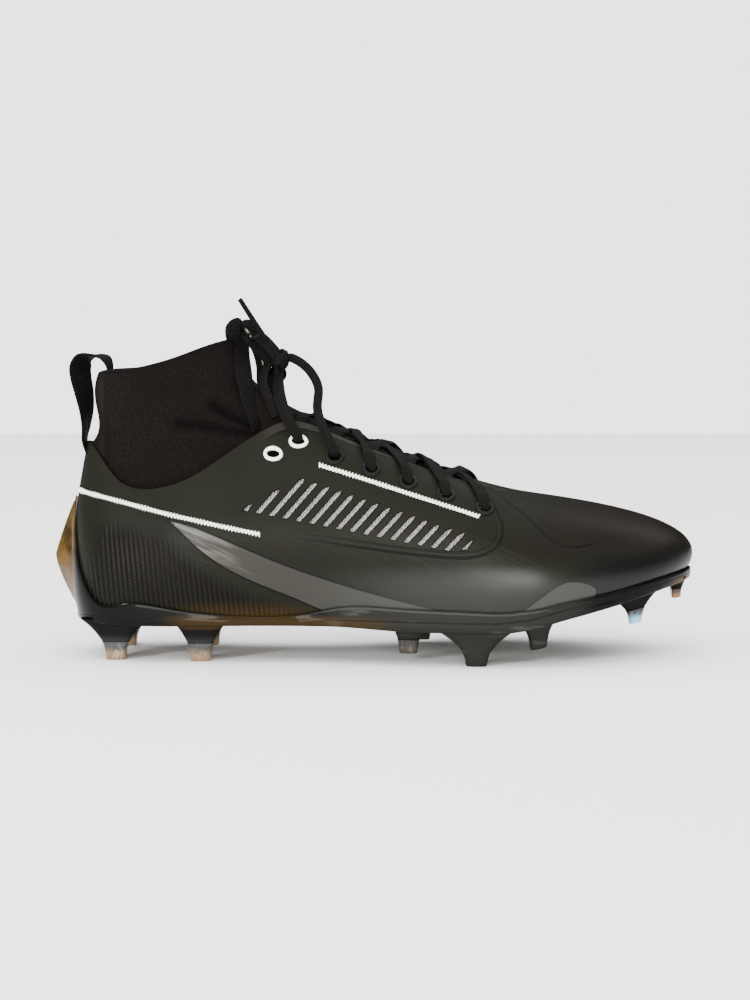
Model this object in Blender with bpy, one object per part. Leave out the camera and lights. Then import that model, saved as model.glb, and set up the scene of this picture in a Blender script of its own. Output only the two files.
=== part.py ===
"""American football cleat, right shoe, mid-height knit collar on a moulded plate with studs.

Metres, +Z up, +X from heel to toe, -Y the outer side of the foot. The origin is on the ground,
at the middle of the length and of the width. Sizes below are in millimetres.
"""

import math

import bmesh
import bpy
import numpy as np
from mathutils import Vector
from mathutils.bvhtree import BVHTree

MM = 0.001

# Driving sizes of the shoe
UPPER_LENGTH = 298.0
HEEL_BACK = -144.0
BALL_WIDTH = 96.0
INSTEP_HEIGHT = 113.0
COLLAR_HEIGHT = 150.5
COLLAR_LENGTH = 68.0
COLLAR_WIDTH = 55.0
UNDERSIDE_HEIGHT = 16.0
TOE_SPRING = 20.5

# Walls and gaps
UPPER_WALL = 1.8
KNIT_WALL = 2.2
PLATE_THICKNESS = 3.2
FLANK_FOOT = 1.9
FLANK_LIP = 1.0
INSOLE_THICKNESS = 3.6
INSOLE_BEVEL = 1.0
MEET = 0.3
FLANK_GAP = 0.5
KNIT_GAP = 0.7
LINING_GAP = 0.6
BINDING_STEP = 0.45
EDGE_BEVEL = 0.9
FLAT_INSET = 2.0

# Small parts
EYELET_RADIUS = 4.6
EYELET_BORE = 2.1
EYELET_THICKNESS = 0.9
EYELET_CLEARANCE = 0.3
EYELET_BEVEL = 0.5
VENT_SLOT_WIDTH = 1.8
VENT_MESH_THICKNESS = 0.7
LACE_WIDTH = 6.0
LACE_THICKNESS = 1.5
LACE_GAP = 0.8
LACE_EDGE_DISTANCE = 1.5
CORD_DIAMETER = 3.6
LACE_TIP_DIAMETER = 2.4
WEBBING_THICKNESS = 1.4
HEEL_LOOP_WIDTH = 13.0
HEEL_LOOP_HEIGHT = 0.855
HEEL_LOOP_STANDOFF = 1.5
FRONT_LOOP_WIDTH = 10.0
FRONT_LOOP_STANDOFF = 4.2
RIDGE_DEPTH = 8.6
RIDGE_SPREAD = 0.5
RIDGE_TOP = 0.645
RIDGE_GAP = 0.9
RIDGE_EDGE = 1.8
STUD_TIP_SPLIT = 0.46
STUD_SIDES = 12
STUD_FLARE = 2.3
STUD_ROUNDING = 0.55
STUD_LEAN = 1.6

# Each row is a place round the foot, from the heel centre to the toe tip. The outer side and the
# inner side share a row. Along is a share of the upper's length from the back of the heel.
# Foot edge, where upper meets plate: along, outer and inner (shares of ball width),
# lean (of ball width) and lift (of instep height) of the wall there, carry (share of the way to
# the opening taken by the lower handle), flank (height of the plate's wall, of instep height).
FOOT_EDGE = [
    # name, along, outer, inner, lean, lift, carry, flank
    ("heel back", 0.012, 0.000, 0.000, 0.078, 0.240, 0.00, 0.480),
    ("heel corner", 0.037, 0.219, 0.219, 0.073, 0.240, 0.05, 0.125),
    ("heel side", 0.094, 0.323, 0.318, 0.063, 0.230, 0.20, 0.062),
    ("heel front", 0.174, 0.349, 0.328, 0.063, 0.215, 0.33, 0.044),
    ("waist back", 0.268, 0.344, 0.292, 0.055, 0.215, 0.33, 0.014),
    ("waist", 0.362, 0.354, 0.271, 0.055, 0.220, 0.33, 0.018),
    ("waist front", 0.456, 0.396, 0.302, 0.055, 0.230, 0.30, 0.060),
    ("ball back", 0.550, 0.453, 0.385, 0.057, 0.230, 0.22, 0.066),
    ("ball", 0.644, 0.490, 0.458, 0.063, 0.230, 0.10, 0.060),
    ("ball front", 0.738, 0.484, 0.474, 0.063, 0.230, 0.00, 0.048),
    ("toe side", 0.832, 0.417, 0.438, 0.073, 0.215, 0.00, 0.034),
    ("toe corner", 0.906, 0.307, 0.359, 0.100, 0.200, 0.00, 0.024),
    ("toe front", 0.960, 0.135, 0.255, 0.140, 0.195, 0.00, 0.018),
    ("toe tip", 0.987, -0.073, 0.073, 0.166, 0.195, 0.00, 0.016),
]

# Opening of the upper: along, across (of ball width), height (of instep height), bulge (of ball
# width) and drop (of instep height) of the upper handle, tail (share of the way back to the edge).
OPENING = [
    # along, across, height, bulge, drop, tail
    (0.023, 0.000, 0.903, 0.050, 0.215, 0.00),
    (0.042, 0.135, 0.867, 0.062, 0.200, 0.05),
    (0.074, 0.229, 0.770, 0.068, 0.205, 0.25),
    (0.117, 0.286, 0.717, 0.070, 0.195, 0.33),
    (0.188, 0.323, 0.757, 0.073, 0.212, 0.33),
    (0.255, 0.318, 0.867, 0.104, 0.230, 0.33),
    (0.310, 0.286, 0.960, 0.115, 0.230, 0.33),
    (0.363, 0.250, 0.997, 0.125, 0.212, 0.36),
    (0.436, 0.229, 0.927, 0.130, 0.177, 0.42),
    (0.522, 0.208, 0.839, 0.130, 0.142, 0.46),
    (0.601, 0.177, 0.762, 0.085, 0.100, 0.52),
    (0.651, 0.125, 0.716, 0.030, 0.075, 0.60),
    (0.675, 0.057, 0.701, 0.000, 0.066, 0.65),
    (0.681, 0.000, 0.699, 0.000, 0.064, 0.66),
]

# Knit collar: where its rim lies (along the collar's length from its back, across its width,
# height as a share of the collar's height), then the handles at the opening (back of length,
# inward of ball width, up of instep height) and at the rim (front of length, down of instep height).
COLLAR = [
    # along, across, height, back, inward, up, front, down
    (0.000, 0.000, 0.893, -0.024, 0.000, 0.080, -0.018, 0.100),
    (0.030, 0.164, 0.897, -0.020, 0.000, 0.080, -0.014, 0.100),
    (0.110, 0.318, 0.900, -0.008, -0.010, 0.115, -0.005, 0.124),
    (0.250, 0.436, 0.903, 0.000, -0.020, 0.133, 0.000, 0.133),
    (0.412, 0.491, 0.917, 0.007, -0.020, 0.133, 0.000, 0.124),
    (0.573, 0.500, 0.938, 0.015, -0.010, 0.106, 0.007, 0.115),
    (0.720, 0.464, 0.963, 0.020, 0.010, 0.070, 0.018, 0.140),
    (0.816, 0.400, 0.979, 0.027, 0.035, 0.060, 0.028, 0.195),
    (0.882, 0.336, 0.988, 0.052, 0.065, 0.115, 0.030, 0.255),
    (0.926, 0.264, 0.993, 0.105, 0.090, 0.185, 0.026, 0.315),
    (0.959, 0.191, 0.996, 0.180, 0.085, 0.256, 0.020, 0.360),
    (0.981, 0.127, 0.998, 0.245, 0.060, 0.325, 0.013, 0.388),
    (0.994, 0.064, 0.999, 0.284, 0.030, 0.365, 0.009, 0.405),
    (1.000, 0.000, 1.000, 0.296, 0.000, 0.377, 0.008, 0.410),
]
COLLAR_BACK = 0.042

# Underside of the plate: along, height of the arch (of underside height), rise (of toe spring)
UNDERSIDE = [
    (-0.06, 1.12, 0.00),
    (0.13, 1.09, 0.00),
    (0.41, 1.11, 0.00),
    (0.54, 1.01, 0.00),
    (0.67, 1.00, 0.00),
    (0.72, 1.00, 0.08),
    (0.77, 1.00, 0.27),
    (0.85, 1.00, 0.55),
    (0.93, 1.00, 0.84),
    (1.00, 1.00, 1.00),
    (1.04, 1.00, 1.06),
]

EXTRA_PLACES = (0.25, 0.75, 12.25, 12.75)
LEVELS = (0.0, 0.06, 0.15, 0.28, 0.42, 0.56, 0.70, 0.82, 0.90, 1.0)
INNER_LEVELS = (0.0, 0.15, 0.28, 0.42, 0.56, 0.70, 0.82, 0.90, 1.0)
TUCK_LEVEL = 0.90
VENT_MESH_TOP = 0.82
BINDING_LEVEL = 0.955
BINDING_RAMP = 0.006
THROAT_PLACE = 5.5
COLLAR_LEVELS = (0.12, 0.25, 0.38, 0.51, 0.64, 0.77, 0.89, 1.0)
COLLAR_INNER_LEVELS = (0.25, 0.51, 0.77, 1.0)

# Studs: name, side, along, across from the edge line (of ball width, inwards), length and depth
# at the tip, length and depth at the root (mm), tip above the ground (of underside height),
# and whether the tip is a separate clear moulding.
STUDS = [
    ("heel_outer_rear", -1, 0.074, 0.030, 9.4, 7.5, 33.0, 13.0, 0.00, True),
    ("heel_outer_front", -1, 0.209, 0.030, 10.0, 7.5, 27.0, 13.0, 0.00, True),
    ("heel_inner_rear", 1, 0.074, 0.030, 9.4, 7.5, 33.0, 13.0, 0.00, True),
    ("heel_inner_front", 1, 0.209, 0.030, 10.0, 7.5, 27.0, 13.0, 0.00, True),
    ("ball_outer_rear", -1, 0.536, 0.140, 9.0, 8.0, 18.0, 13.0, 0.22, True),
    ("ball_outer", -1, 0.640, 0.020, 10.0, 7.0, 42.0, 12.0, 0.00, False),
    ("ball_outer_front", -1, 0.738, 0.075, 8.0, 8.0, 18.0, 13.0, 0.46, False),
    ("toe_outer", -1, 0.893, 0.050, 6.0, 6.5, 25.0, 11.0, 1.10, True),
    ("toe_tip", 1, 0.966, 0.230, 4.5, 7.0, 9.5, 11.0, 1.70, True),
    ("ball_inner_rear", 1, 0.560, 0.060, 9.0, 7.5, 24.0, 12.0, 0.12, True),
    ("ball_inner", 1, 0.665, 0.030, 10.0, 7.0, 34.0, 12.0, 0.00, True),
    ("toe_inner", 1, 0.800, 0.045, 8.0, 7.0, 26.0, 12.0, 0.70, True),
]

# Keel down the back of the heel: share of its height, share of its depth, share of its spread
RIDGE = [
    (0.00, 0.15, 0.65),
    (0.25, 0.62, 0.96),
    (0.48, 1.00, 0.97),
    (0.74, 0.55, 0.68),
    (1.00, 0.12, 0.48),
]

# Eyelets on each side, from the top one down to the vamp: along, height (of instep height)
EYELETS = [
    (0.3255, 0.864),
    (0.3641, 0.915),
    (0.4208, 0.854),
    (0.4772, 0.804),
    (0.5342, 0.752),
    (0.5926, 0.700),
    (0.6523, 0.646),
]
TOP_EYELETS = 2

# Vent slots: how many, where the first and the last have their foot and their head (along and
# height of instep height), and how much of its length the first one keeps
VENT_COUNT = 15
VENT_FIRST = ((0.3023, 0.623), (0.3537, 0.779))
VENT_LAST = ((0.5926, 0.4805), (0.6178, 0.5487))
VENT_FIRST_LENGTH = 0.60
VENT_REACH = (0.18, 0.75)

# Webbing loops, side view: x, z (mm from where the strap is sewn on) and the turn of its width
# about the upright, in degrees, which brings its face towards the outer side
HEEL_LOOP = [
    (0.0, 0.0, 0), (0.9, 5.0, 0), (2.0, 12.0, 8), (2.2, 20.0, 24), (1.2, 28.0, 38),
    (0.0, 36.0, 42), (-0.8, 42.0, 42), (1.4, 46.8, 40), (6.4, 48.6, 30), (11.0, 46.2, 16),
    (12.6, 40.0, 4), (12.8, 34.0, 0),
]
FRONT_LOOP = [
    (0.0, 0.0, 44), (-1.4, 4.5, 44), (-3.2, 10.5, 44), (-5.4, 17.5, 44), (-7.6, 24.5, 44),
    (-9.8, 29.5, 44), (-10.6, 33.0, 44), (-8.0, 35.2, 44), (-4.6, 32.6, 44), (-3.4, 26.0, 44),
    (-2.2, 19.0, 44), (-0.2, 11.0, 44), (1.8, 5.0, 44),
]
FRONT_LOOP_PLACE = 11.4
FRONT_LOOP_LEVEL = 0.69

# Free lace, hand placed points in mm: x, y, z
LACE_ARC = [
    (-18.8, -35.3, 99.4), (-24.2, -30.0, 110.0), (-26.8, -21.8, 118.0), (-26.6, -17.0, 128.0),
    (-31.6, -13.0, 136.4), (-39.4, -10.2, 141.4),
]
LACE_RISE_OUTER = [
    (-35.9, -32.8, 106.1), (-40.0, -30.4, 113.0), (-44.0, -22.6, 122.0), (-45.7, -13.6, 132.2),
]
LACE_RISE_INNER = [
    (-35.9, 31.8, 106.6), (-38.0, 27.6, 114.4), (-37.6, 17.4, 124.0), (-37.2, 6.6, 132.6),
    (-40.4, -4.9, 138.4),
]
LACE_END_UP = [
    (-48.8, -13.0, 146.2), (-52.8, -16.8, 152.6), (-57.4, -18.8, 160.0), (-62.9, -19.8, 168.8),
]
LACE_END_DOWN = [
    (-50.5, -13.1, 137.9), (-52.4, -17.4, 131.6), (-51.4, -20.2, 126.4), (-49.4, -22.0, 122.0),
]
KNOT_CENTRE = (-45.0, -11.0, 140.4)
KNOT_SIZE = (8.4, 11.0, 14.0)
KNOT_LUMP = 0.10
KNOT_ENDS = 0.06


def along(share):
    return HEEL_BACK + share * UPPER_LENGTH


def hermite_table(rows, x, column):
    """Smooth value of a column of a table whose first column rises, at x."""
    xs = [row[0] for row in rows]
    ys = [row[column] for row in rows]
    x = min(max(x, xs[0]), xs[-1])
    i = max(k for k in range(len(xs) - 1) if xs[k] <= x)
    slopes = [(ys[k + 1] - ys[k]) / (xs[k + 1] - xs[k]) for k in range(len(xs) - 1)]

    def tangent(k):
        if k == 0 or k == len(xs) - 1 or slopes[k - 1] * slopes[k] <= 0:
            return 0.0 if 0 < k < len(xs) - 1 else slopes[min(k, len(slopes) - 1)]
        return 2 * slopes[k - 1] * slopes[k] / (slopes[k - 1] + slopes[k])

    h = xs[i + 1] - xs[i]
    t = (x - xs[i]) / h
    return ((2 * t**3 - 3 * t**2 + 1) * ys[i] + (t**3 - 2 * t**2 + t) * h * tangent(i)
            + (3 * t**2 - 2 * t**3) * ys[i + 1] + (t**3 - t**2) * h * tangent(i + 1))


def underside(x):
    """Height of the plate's underside at x."""
    share = (x - HEEL_BACK) / UPPER_LENGTH
    arch = hermite_table(UNDERSIDE, share, 1) * UNDERSIDE_HEIGHT
    return arch + hermite_table(UNDERSIDE, share, 2) * TOE_SPRING


def footbed(x):
    return underside(x) + PLATE_THICKNESS


class Loop:
    """Closed smooth curve through evenly numbered points, with continuous curvature."""

    def __init__(self, points):
        self.points = np.array(points, float)
        count = len(points)
        system = np.zeros((count, count))
        for i in range(count):
            system[i, i] = 4.0
            system[i, (i - 1) % count] += 1.0
            system[i, (i + 1) % count] += 1.0
        p = self.points
        bend = 6.0 * (np.roll(p, 1, 0) - 2.0 * p + np.roll(p, -1, 0))
        self.bends = np.linalg.solve(system, bend)

    def at(self, place):
        """The point at a place counted in rows, where 0 is the heel centre."""
        count = len(self.points)
        place = place % count
        i = int(place)
        j = (i + 1) % count
        t = place - i
        s = 1.0 - t
        return (s * self.points[i] + t * self.points[j]
                + ((s**3 - s) * self.bends[i] + (t**3 - t) * self.bends[j]) / 6.0)


def round_the_foot(make):
    """One value for each row down the outer side, then back up the inner side."""
    last = len(FOOT_EDGE) - 1
    outer = [make(i, -1) for i in range(last + 1)]
    inner = [make(i, 1) for i in range(last - 1, 0, -1)]
    return outer + inner


def edge_point(i, side):
    name, share, outer, inner = FOOT_EDGE[i][:4]
    x = along(share)
    across = outer if side < 0 else inner
    return np.array([x, side * across * BALL_WIDTH, footbed(x) + MEET])


def opening_point(i, side):
    share, across, height = OPENING[i][:3]
    return np.array([along(share), side * across * BALL_WIDTH, height * INSTEP_HEIGHT])


EDGE_PLAN = Loop(round_the_foot(edge_point))
OPENING_LOOP = Loop(round_the_foot(opening_point))
ROWS_ROUND = 2 * (len(FOOT_EDGE) - 1)


def edge_at(place):
    """Point of the foot edge, which lies just above the plate's footbed."""
    x, y, _ = EDGE_PLAN.at(place)
    return np.array([x, y, footbed(x) + MEET])


def edge_outward(place):
    """Level unit vector pointing out of the foot edge."""
    step = edge_at(place + 0.05) - edge_at(place - 0.05)
    out = np.array([step[1], -step[0], 0.0])
    centre = np.array([along(0.5), 0.0, 0.0])
    middle = edge_at(place) - centre
    if out[0] * middle[0] * 0.2 + out[1] * middle[1] < 0:
        out = -out
    return out / np.linalg.norm(out)


def lower_handle(i, side):
    edge, mouth = edge_point(i, side), opening_point(i, side)
    lean, lift, carry = FOOT_EDGE[i][4:7]
    place = i if side < 0 else ROWS_ROUND - i
    handle = edge + edge_outward(place) * lean * BALL_WIDTH
    handle[:2] += carry * (mouth - edge)[:2]
    handle[2] += lift * INSTEP_HEIGHT
    return handle


def upper_handle(i, side):
    edge, mouth = edge_point(i, side), opening_point(i, side)
    bulge, drop, tail = OPENING[i][3:6]
    place = i if side < 0 else ROWS_ROUND - i
    handle = mouth + edge_outward(place) * bulge * BALL_WIDTH
    handle[:2] -= tail * (mouth - edge)[:2]
    handle[2] -= drop * INSTEP_HEIGHT
    return handle


LOWER_LOOP = Loop(round_the_foot(lower_handle))
UPPER_LOOP = Loop(round_the_foot(upper_handle))
FLANK_LOOP = Loop(round_the_foot(lambda i, side: [FOOT_EDGE[i][7] * INSTEP_HEIGHT]))


def bezier(a, b, c, d, t):
    s = 1.0 - t
    return s**3 * a + 3 * s * s * t * b + 3 * s * t * t * c + t**3 * d


def upper_skin(place, level):
    """Outer face of the upper: level 0 is the foot edge, level 1 the opening."""
    return bezier(edge_at(place), LOWER_LOOP.at(place), UPPER_LOOP.at(place),
                  OPENING_LOOP.at(place), level)


def upper_normal(place, level):
    step = 1e-3
    low, high = max(level - step, 0.0), min(level + step, 1.0)
    up = upper_skin(place, high) - upper_skin(place, low)
    round_ = upper_skin(place + step, level) - upper_skin(place - step, level)
    return unit(np.cross(round_, up))


def level_at_height(place, height):
    """The level at which the upper's outer face is this high above the foot edge."""
    target = edge_at(place)[2] + height
    low, high = 0.0, 1.0
    for _ in range(30):
        middle = (low + high) / 2
        if upper_skin(place, middle)[2] < target:
            low = middle
        else:
            high = middle
    return (low + high) / 2


def on_side(x, z, side):
    """Place and level of the point of the upper that shows at x, z from that side."""
    rows = range(1, len(FOOT_EDGE) - 1)
    places = [i if side < 0 else ROWS_ROUND - i for i in rows]
    goal = np.array([x, z])

    def miss(place, level):
        return upper_skin(place, level)[[0, 2]] - goal

    place, level = min(((p, v) for p in places for v in LEVELS[1:]),
                       key=lambda c: np.linalg.norm(miss(*c)))
    for _ in range(12):
        at = miss(place, level)
        step = 1e-4
        by_place = (miss(place + step, level) - at) / step
        by_level = (miss(place, level + step) - at) / step
        move = np.linalg.solve(np.column_stack([by_place, by_level]), -at)
        place += float(np.clip(move[0], -0.5, 0.5))
        level = float(np.clip(level + np.clip(move[1], -0.1, 0.1), 0.0, 1.0))
    return place, level


def unit(vector):
    return vector / np.linalg.norm(vector)


# Mesh building

def finish(name, mesh, material):
    obj = bpy.data.objects.new(name, mesh)
    bpy.context.scene.collection.objects.link(obj)
    obj.data.materials.append(material)
    obj.data.shade_smooth()
    obj.data.set_sharp_from_angle(angle=math.radians(40))
    return obj


def solid_from(points, faces):
    """Mesh in metres from points in millimetres, its faces turned outwards."""
    mesh = bpy.data.meshes.new("solid")
    mesh.from_pydata([tuple(float(c) * MM for c in p) for p in points], [], faces)
    work = bmesh.new()
    work.from_mesh(mesh)
    bmesh.ops.recalc_face_normals(work, faces=work.faces)
    if work.calc_volume(signed=True) < 0:
        bmesh.ops.reverse_faces(work, faces=work.faces)
    work.to_mesh(mesh)
    work.free()
    return mesh


def ring_solid(rings, closed_ends=True):
    """Faces between successive rings of points, joined round, with flat ends or a closed tube."""
    count = len(rings[0])
    points = [p for ring in rings for p in ring]
    faces = []
    pairs = len(rings) - 1 if closed_ends else len(rings)
    for k in range(pairs):
        a, b = k * count, ((k + 1) % len(rings)) * count
        for i in range(count):
            j = (i + 1) % count
            faces.append((a + i, a + j, b + j, b + i))
    if closed_ends:
        faces.append(tuple(range(count)))
        faces.append(tuple(range((len(rings) - 1) * count, len(rings) * count)))
    return solid_from(points, faces)


def ladder(points, faces, ring, height_of, across):
    """Fills a ring that starts at the heel centre with rows of faces from side to side."""
    count = len(ring)
    half = count // 2
    rows = [[ring[0]]]
    for i in range(1, half):
        left, right = points[ring[i]], points[ring[count - i]]
        row = [ring[i]]
        for k in range(1, across):
            p = left + (right - left) * k / across
            points.append(np.array([p[0], p[1], height_of(p[0], p[1])]))
            row.append(len(points) - 1)
        row.append(ring[count - i])
        rows.append(row)
    rows.append([ring[half]])
    for a, b in zip(rows, rows[1:]):
        for k in range(across):
            if len(a) == 1:
                faces.append((a[0], b[k], b[k + 1]))
            elif len(b) == 1:
                faces.append((a[k], a[k + 1], b[0]))
            else:
                faces.append((a[k], a[k + 1], b[k + 1], b[k]))


def station_places():
    """Places of the stations: every half row, with more round the heel and the toe."""
    half = [i / 2 for i in range(2 * ROWS_ROUND)]
    extra = list(EXTRA_PLACES) + [ROWS_ROUND - place for place in EXTRA_PLACES]
    return sorted(half + extra)


def boolean(obj, cutter, operation):
    """Applies a Boolean to an object and deletes the cutter."""
    modifier = obj.modifiers.new("join", "BOOLEAN")
    modifier.operation = operation
    modifier.solver = "EXACT"
    modifier.object = cutter
    bpy.context.view_layer.update()
    depsgraph = bpy.context.evaluated_depsgraph_get()
    result = bpy.data.meshes.new_from_object(obj.evaluated_get(depsgraph))
    obj.modifiers.remove(modifier)
    obj.data = result
    bpy.data.objects.remove(cutter)
    return obj


def loose(name, mesh):
    obj = bpy.data.objects.new(name, mesh)
    bpy.context.scene.collection.objects.link(obj)
    return obj


def joined(name, meshes):
    """One loose object holding several separate closed meshes."""
    work = bmesh.new()
    for mesh in meshes:
        work.from_mesh(mesh)
    mesh = bpy.data.meshes.new(name)
    work.to_mesh(mesh)
    work.free()
    return loose(name, mesh)


def material(name, colour, roughness, metallic=0.0):
    made = bpy.data.materials.new(name)
    made.use_nodes = True
    shader = made.node_tree.nodes["Principled BSDF"]
    shader.inputs["Base Color"].default_value = (*colour, 1.0)
    shader.inputs["Roughness"].default_value = roughness
    shader.inputs["Metallic"].default_value = metallic
    return made


# The upper

def throat_share(place):
    """1 along the lacing throat, 0 round the ankle."""
    row = min(place % ROWS_ROUND, ROWS_ROUND - place % ROWS_ROUND)
    return float(np.clip(row - THROAT_PLACE, 0.0, 1.0))


def upper_rings():
    """Rings of the upper's outer face, with the step down to the thinner throat binding."""
    steps = [(level, 0.0) for level in LEVELS if level < BINDING_LEVEL]
    steps += [(BINDING_LEVEL, 0.0), (BINDING_LEVEL + BINDING_RAMP, 1.0), (1.0, 1.0)]
    rings = []
    for level, binding in steps:
        ring = []
        for place in station_places():
            cut = binding * BINDING_STEP * throat_share(place)
            ring.append(upper_skin(place, level) - upper_normal(place, level) * cut)
        rings.append(ring)
    return rings


def inner_rings(depth, levels):
    return [[upper_skin(p, v) - upper_normal(p, v) * depth for p in station_places()]
            for v in levels]


def eyelet_seat(index, side):
    """Centre on the upper, outward axis and the direction along the throat."""
    share, height = EYELETS[index]
    place, level = on_side(along(share), height * INSTEP_HEIGHT, side)
    centre, normal = upper_skin(place, level), upper_normal(place, level)
    forward = upper_skin(place + 0.05, level) - upper_skin(place - 0.05, level)
    forward = unit(forward - normal * float(forward @ normal))
    return centre, normal, forward


def disc_ring(centre, normal, forward, radius, height, count):
    side = np.cross(normal, forward)
    return [centre + normal * height
            + radius * (math.cos(a) * forward + math.sin(a) * side)
            for a in (2 * math.pi * k / count for k in range(count))]


def skin_ring(index, side, radius, height, count):
    """Ring on the upper's curved face round an eyelet, raised by height."""
    share, up = EYELETS[index]
    place, level = on_side(along(share), up * INSTEP_HEIGHT, side)
    step = 1e-3
    by_place = (upper_skin(place + step, level) - upper_skin(place - step, level)) / (2 * step)
    by_level = (upper_skin(place, level + step) - upper_skin(place, level - step)) / (2 * step)
    forward = unit(by_place)
    across = unit(by_level - forward * float(by_level @ forward))
    ring = []
    for k in range(count):
        angle = 2 * math.pi * k / count
        goal = radius * (math.cos(angle) * forward + math.sin(angle) * across)
        move = np.linalg.lstsq(np.column_stack([by_place, by_level]), goal, rcond=None)[0]
        p, v = place + move[0], min(level + move[1], 1.0)
        ring.append(upper_skin(p, v) + upper_normal(p, v) * height)
    return ring


def eyelet_drill(index, side):
    seat = eyelet_seat(index, side)
    reach = 2.5 * UPPER_WALL
    radius = EYELET_BORE + EYELET_CLEARANCE
    return ring_solid([disc_ring(*seat, radius, h, 8) for h in (-reach, reach)])


def vent_slots():
    """Foot and head of each slanted slot, side view."""
    slots = []
    for k in range(VENT_COUNT):
        share = k / (VENT_COUNT - 1)
        foot = [a + (b - a) * share for a, b in zip(VENT_FIRST[0], VENT_LAST[0])]
        head = [a + (b - a) * share for a, b in zip(VENT_FIRST[1], VENT_LAST[1])]
        slots.append([np.array([along(x), z * INSTEP_HEIGHT]) for x, z in (foot, head)])
    slots[0][1] = slots[0][0] + (slots[0][1] - slots[0][0]) * VENT_FIRST_LENGTH
    return slots


def vent_cutter(foot, head, side):
    """Prism through the side wall, for one slanted slot."""
    run = unit(head - foot)
    cross = np.array([run[1], -run[0]]) * VENT_SLOT_WIDTH / 2
    outline = [foot - cross, foot + cross, head + cross, head - cross]
    return ring_solid([[np.array([p[0], side * share * BALL_WIDTH, p[1]]) for p in outline]
                       for share in VENT_REACH])


def make_upper(skin):
    outer = upper_rings()
    inner = inner_rings(UPPER_WALL, INNER_LEVELS)
    obj = finish("upper", ring_solid(outer + inner[::-1], closed_ends=False), skin)
    for side in (-1, 1):
        drills = [eyelet_drill(i, side) for i in range(len(EYELETS))]
        drills += [vent_cutter(*slot, side) for slot in vent_slots()]
        boolean(obj, joined("drills", drills), "DIFFERENCE")
    return obj


def make_vent_mesh(name, side, cloth):
    """Thin mesh behind the slots, following the inside of the upper."""
    slots = vent_slots()
    corners = [on_side(*slots[k][end], side) for k in (0, -1) for end in (0, 1)]
    first = math.floor(min(c[0] for c in corners) * 2)
    last = math.ceil(max(c[0] for c in corners) * 2)
    places = [k / 2 for k in range(first, last + 1)]
    lowest = max(v for v in INNER_LEVELS if v <= min(c[1] for c in corners))
    levels = [v for v in INNER_LEVELS if lowest <= v <= VENT_MESH_TOP]
    grid = []
    for depth in (UPPER_WALL + LINING_GAP, UPPER_WALL + LINING_GAP + VENT_MESH_THICKNESS):
        for level in levels:
            for place in places:
                grid.append(upper_skin(place, level) - upper_normal(place, level) * depth)
    return finish(name, sheet_solid(grid, len(places) - 1, len(levels) - 1), cloth)


def sheet_solid(grid, columns, lines):
    """Closed solid from two stacked grids of points, front then back."""
    wide = columns + 1
    back = wide * (lines + 1)
    faces = []
    for k in range(lines):
        for c in range(columns):
            a = k * wide + c
            faces.append((a, a + 1, a + wide + 1, a + wide))
            faces.append((back + a, back + a + wide, back + a + wide + 1, back + a + 1))
    border = [c for c in range(wide)]
    border += [k * wide + columns for k in range(1, lines + 1)]
    border += [lines * wide + c for c in range(columns - 1, -1, -1)]
    border += [k * wide for k in range(lines - 1, 0, -1)]
    for a, b in zip(border, border[1:] + border[:1]):
        faces.append((a, a + back, b + back, b))
    return solid_from(grid, faces)


# The knit collar and tongue, one knitted piece

def rim_point(i, side):
    share, across, height = COLLAR[i][:3]
    x = along(COLLAR_BACK) + share * COLLAR_LENGTH
    return np.array([x, side * across * COLLAR_WIDTH, height * COLLAR_HEIGHT])


def collar_start(place):
    depth = UPPER_WALL + KNIT_GAP
    return upper_skin(place, 1.0) - upper_normal(place, 1.0) * depth


def collar_rise(i, side):
    back, inward, up = COLLAR[i][3:6]
    place = i if side < 0 else ROWS_ROUND - i
    move = [-back * UPPER_LENGTH, -side * inward * BALL_WIDTH, up * INSTEP_HEIGHT]
    return collar_start(place) + np.array(move)


def collar_fall(i, side):
    front, down = COLLAR[i][6:8]
    return rim_point(i, side) + np.array([front * UPPER_LENGTH, 0.0, -down * INSTEP_HEIGHT])


RIM_LOOP = Loop(round_the_foot(rim_point))
RISE_LOOP = Loop(round_the_foot(collar_rise))
FALL_LOOP = Loop(round_the_foot(collar_fall))


def knit_skin(place, level):
    """Outer face of the knit above the upper's opening: level 1 is the rim."""
    return bezier(collar_start(place), RISE_LOOP.at(place), FALL_LOOP.at(place),
                  RIM_LOOP.at(place), level)


def knit_normal(place, level):
    step = 1e-3
    low, high = max(level - step, 0.0), min(level + step, 1.0)
    up = knit_skin(place, high) - knit_skin(place, low)
    round_ = knit_skin(place + step, level) - knit_skin(place - step, level)
    return unit(np.cross(round_, up))


def make_collar(knit):
    depth = UPPER_WALL + KNIT_GAP
    places = station_places()
    outer = inner_rings(depth, (TUCK_LEVEL, 1.0))
    inner = inner_rings(depth + KNIT_WALL, (TUCK_LEVEL, 1.0))
    for level in COLLAR_LEVELS:
        outer.append([knit_skin(p, level) for p in places])
    for level in COLLAR_INNER_LEVELS:
        inner.append([knit_skin(p, level) - knit_normal(p, level) * KNIT_WALL for p in places])
    return finish("knit_collar", ring_solid(outer + inner[::-1], closed_ends=False), knit)


# The plate and its studs

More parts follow.
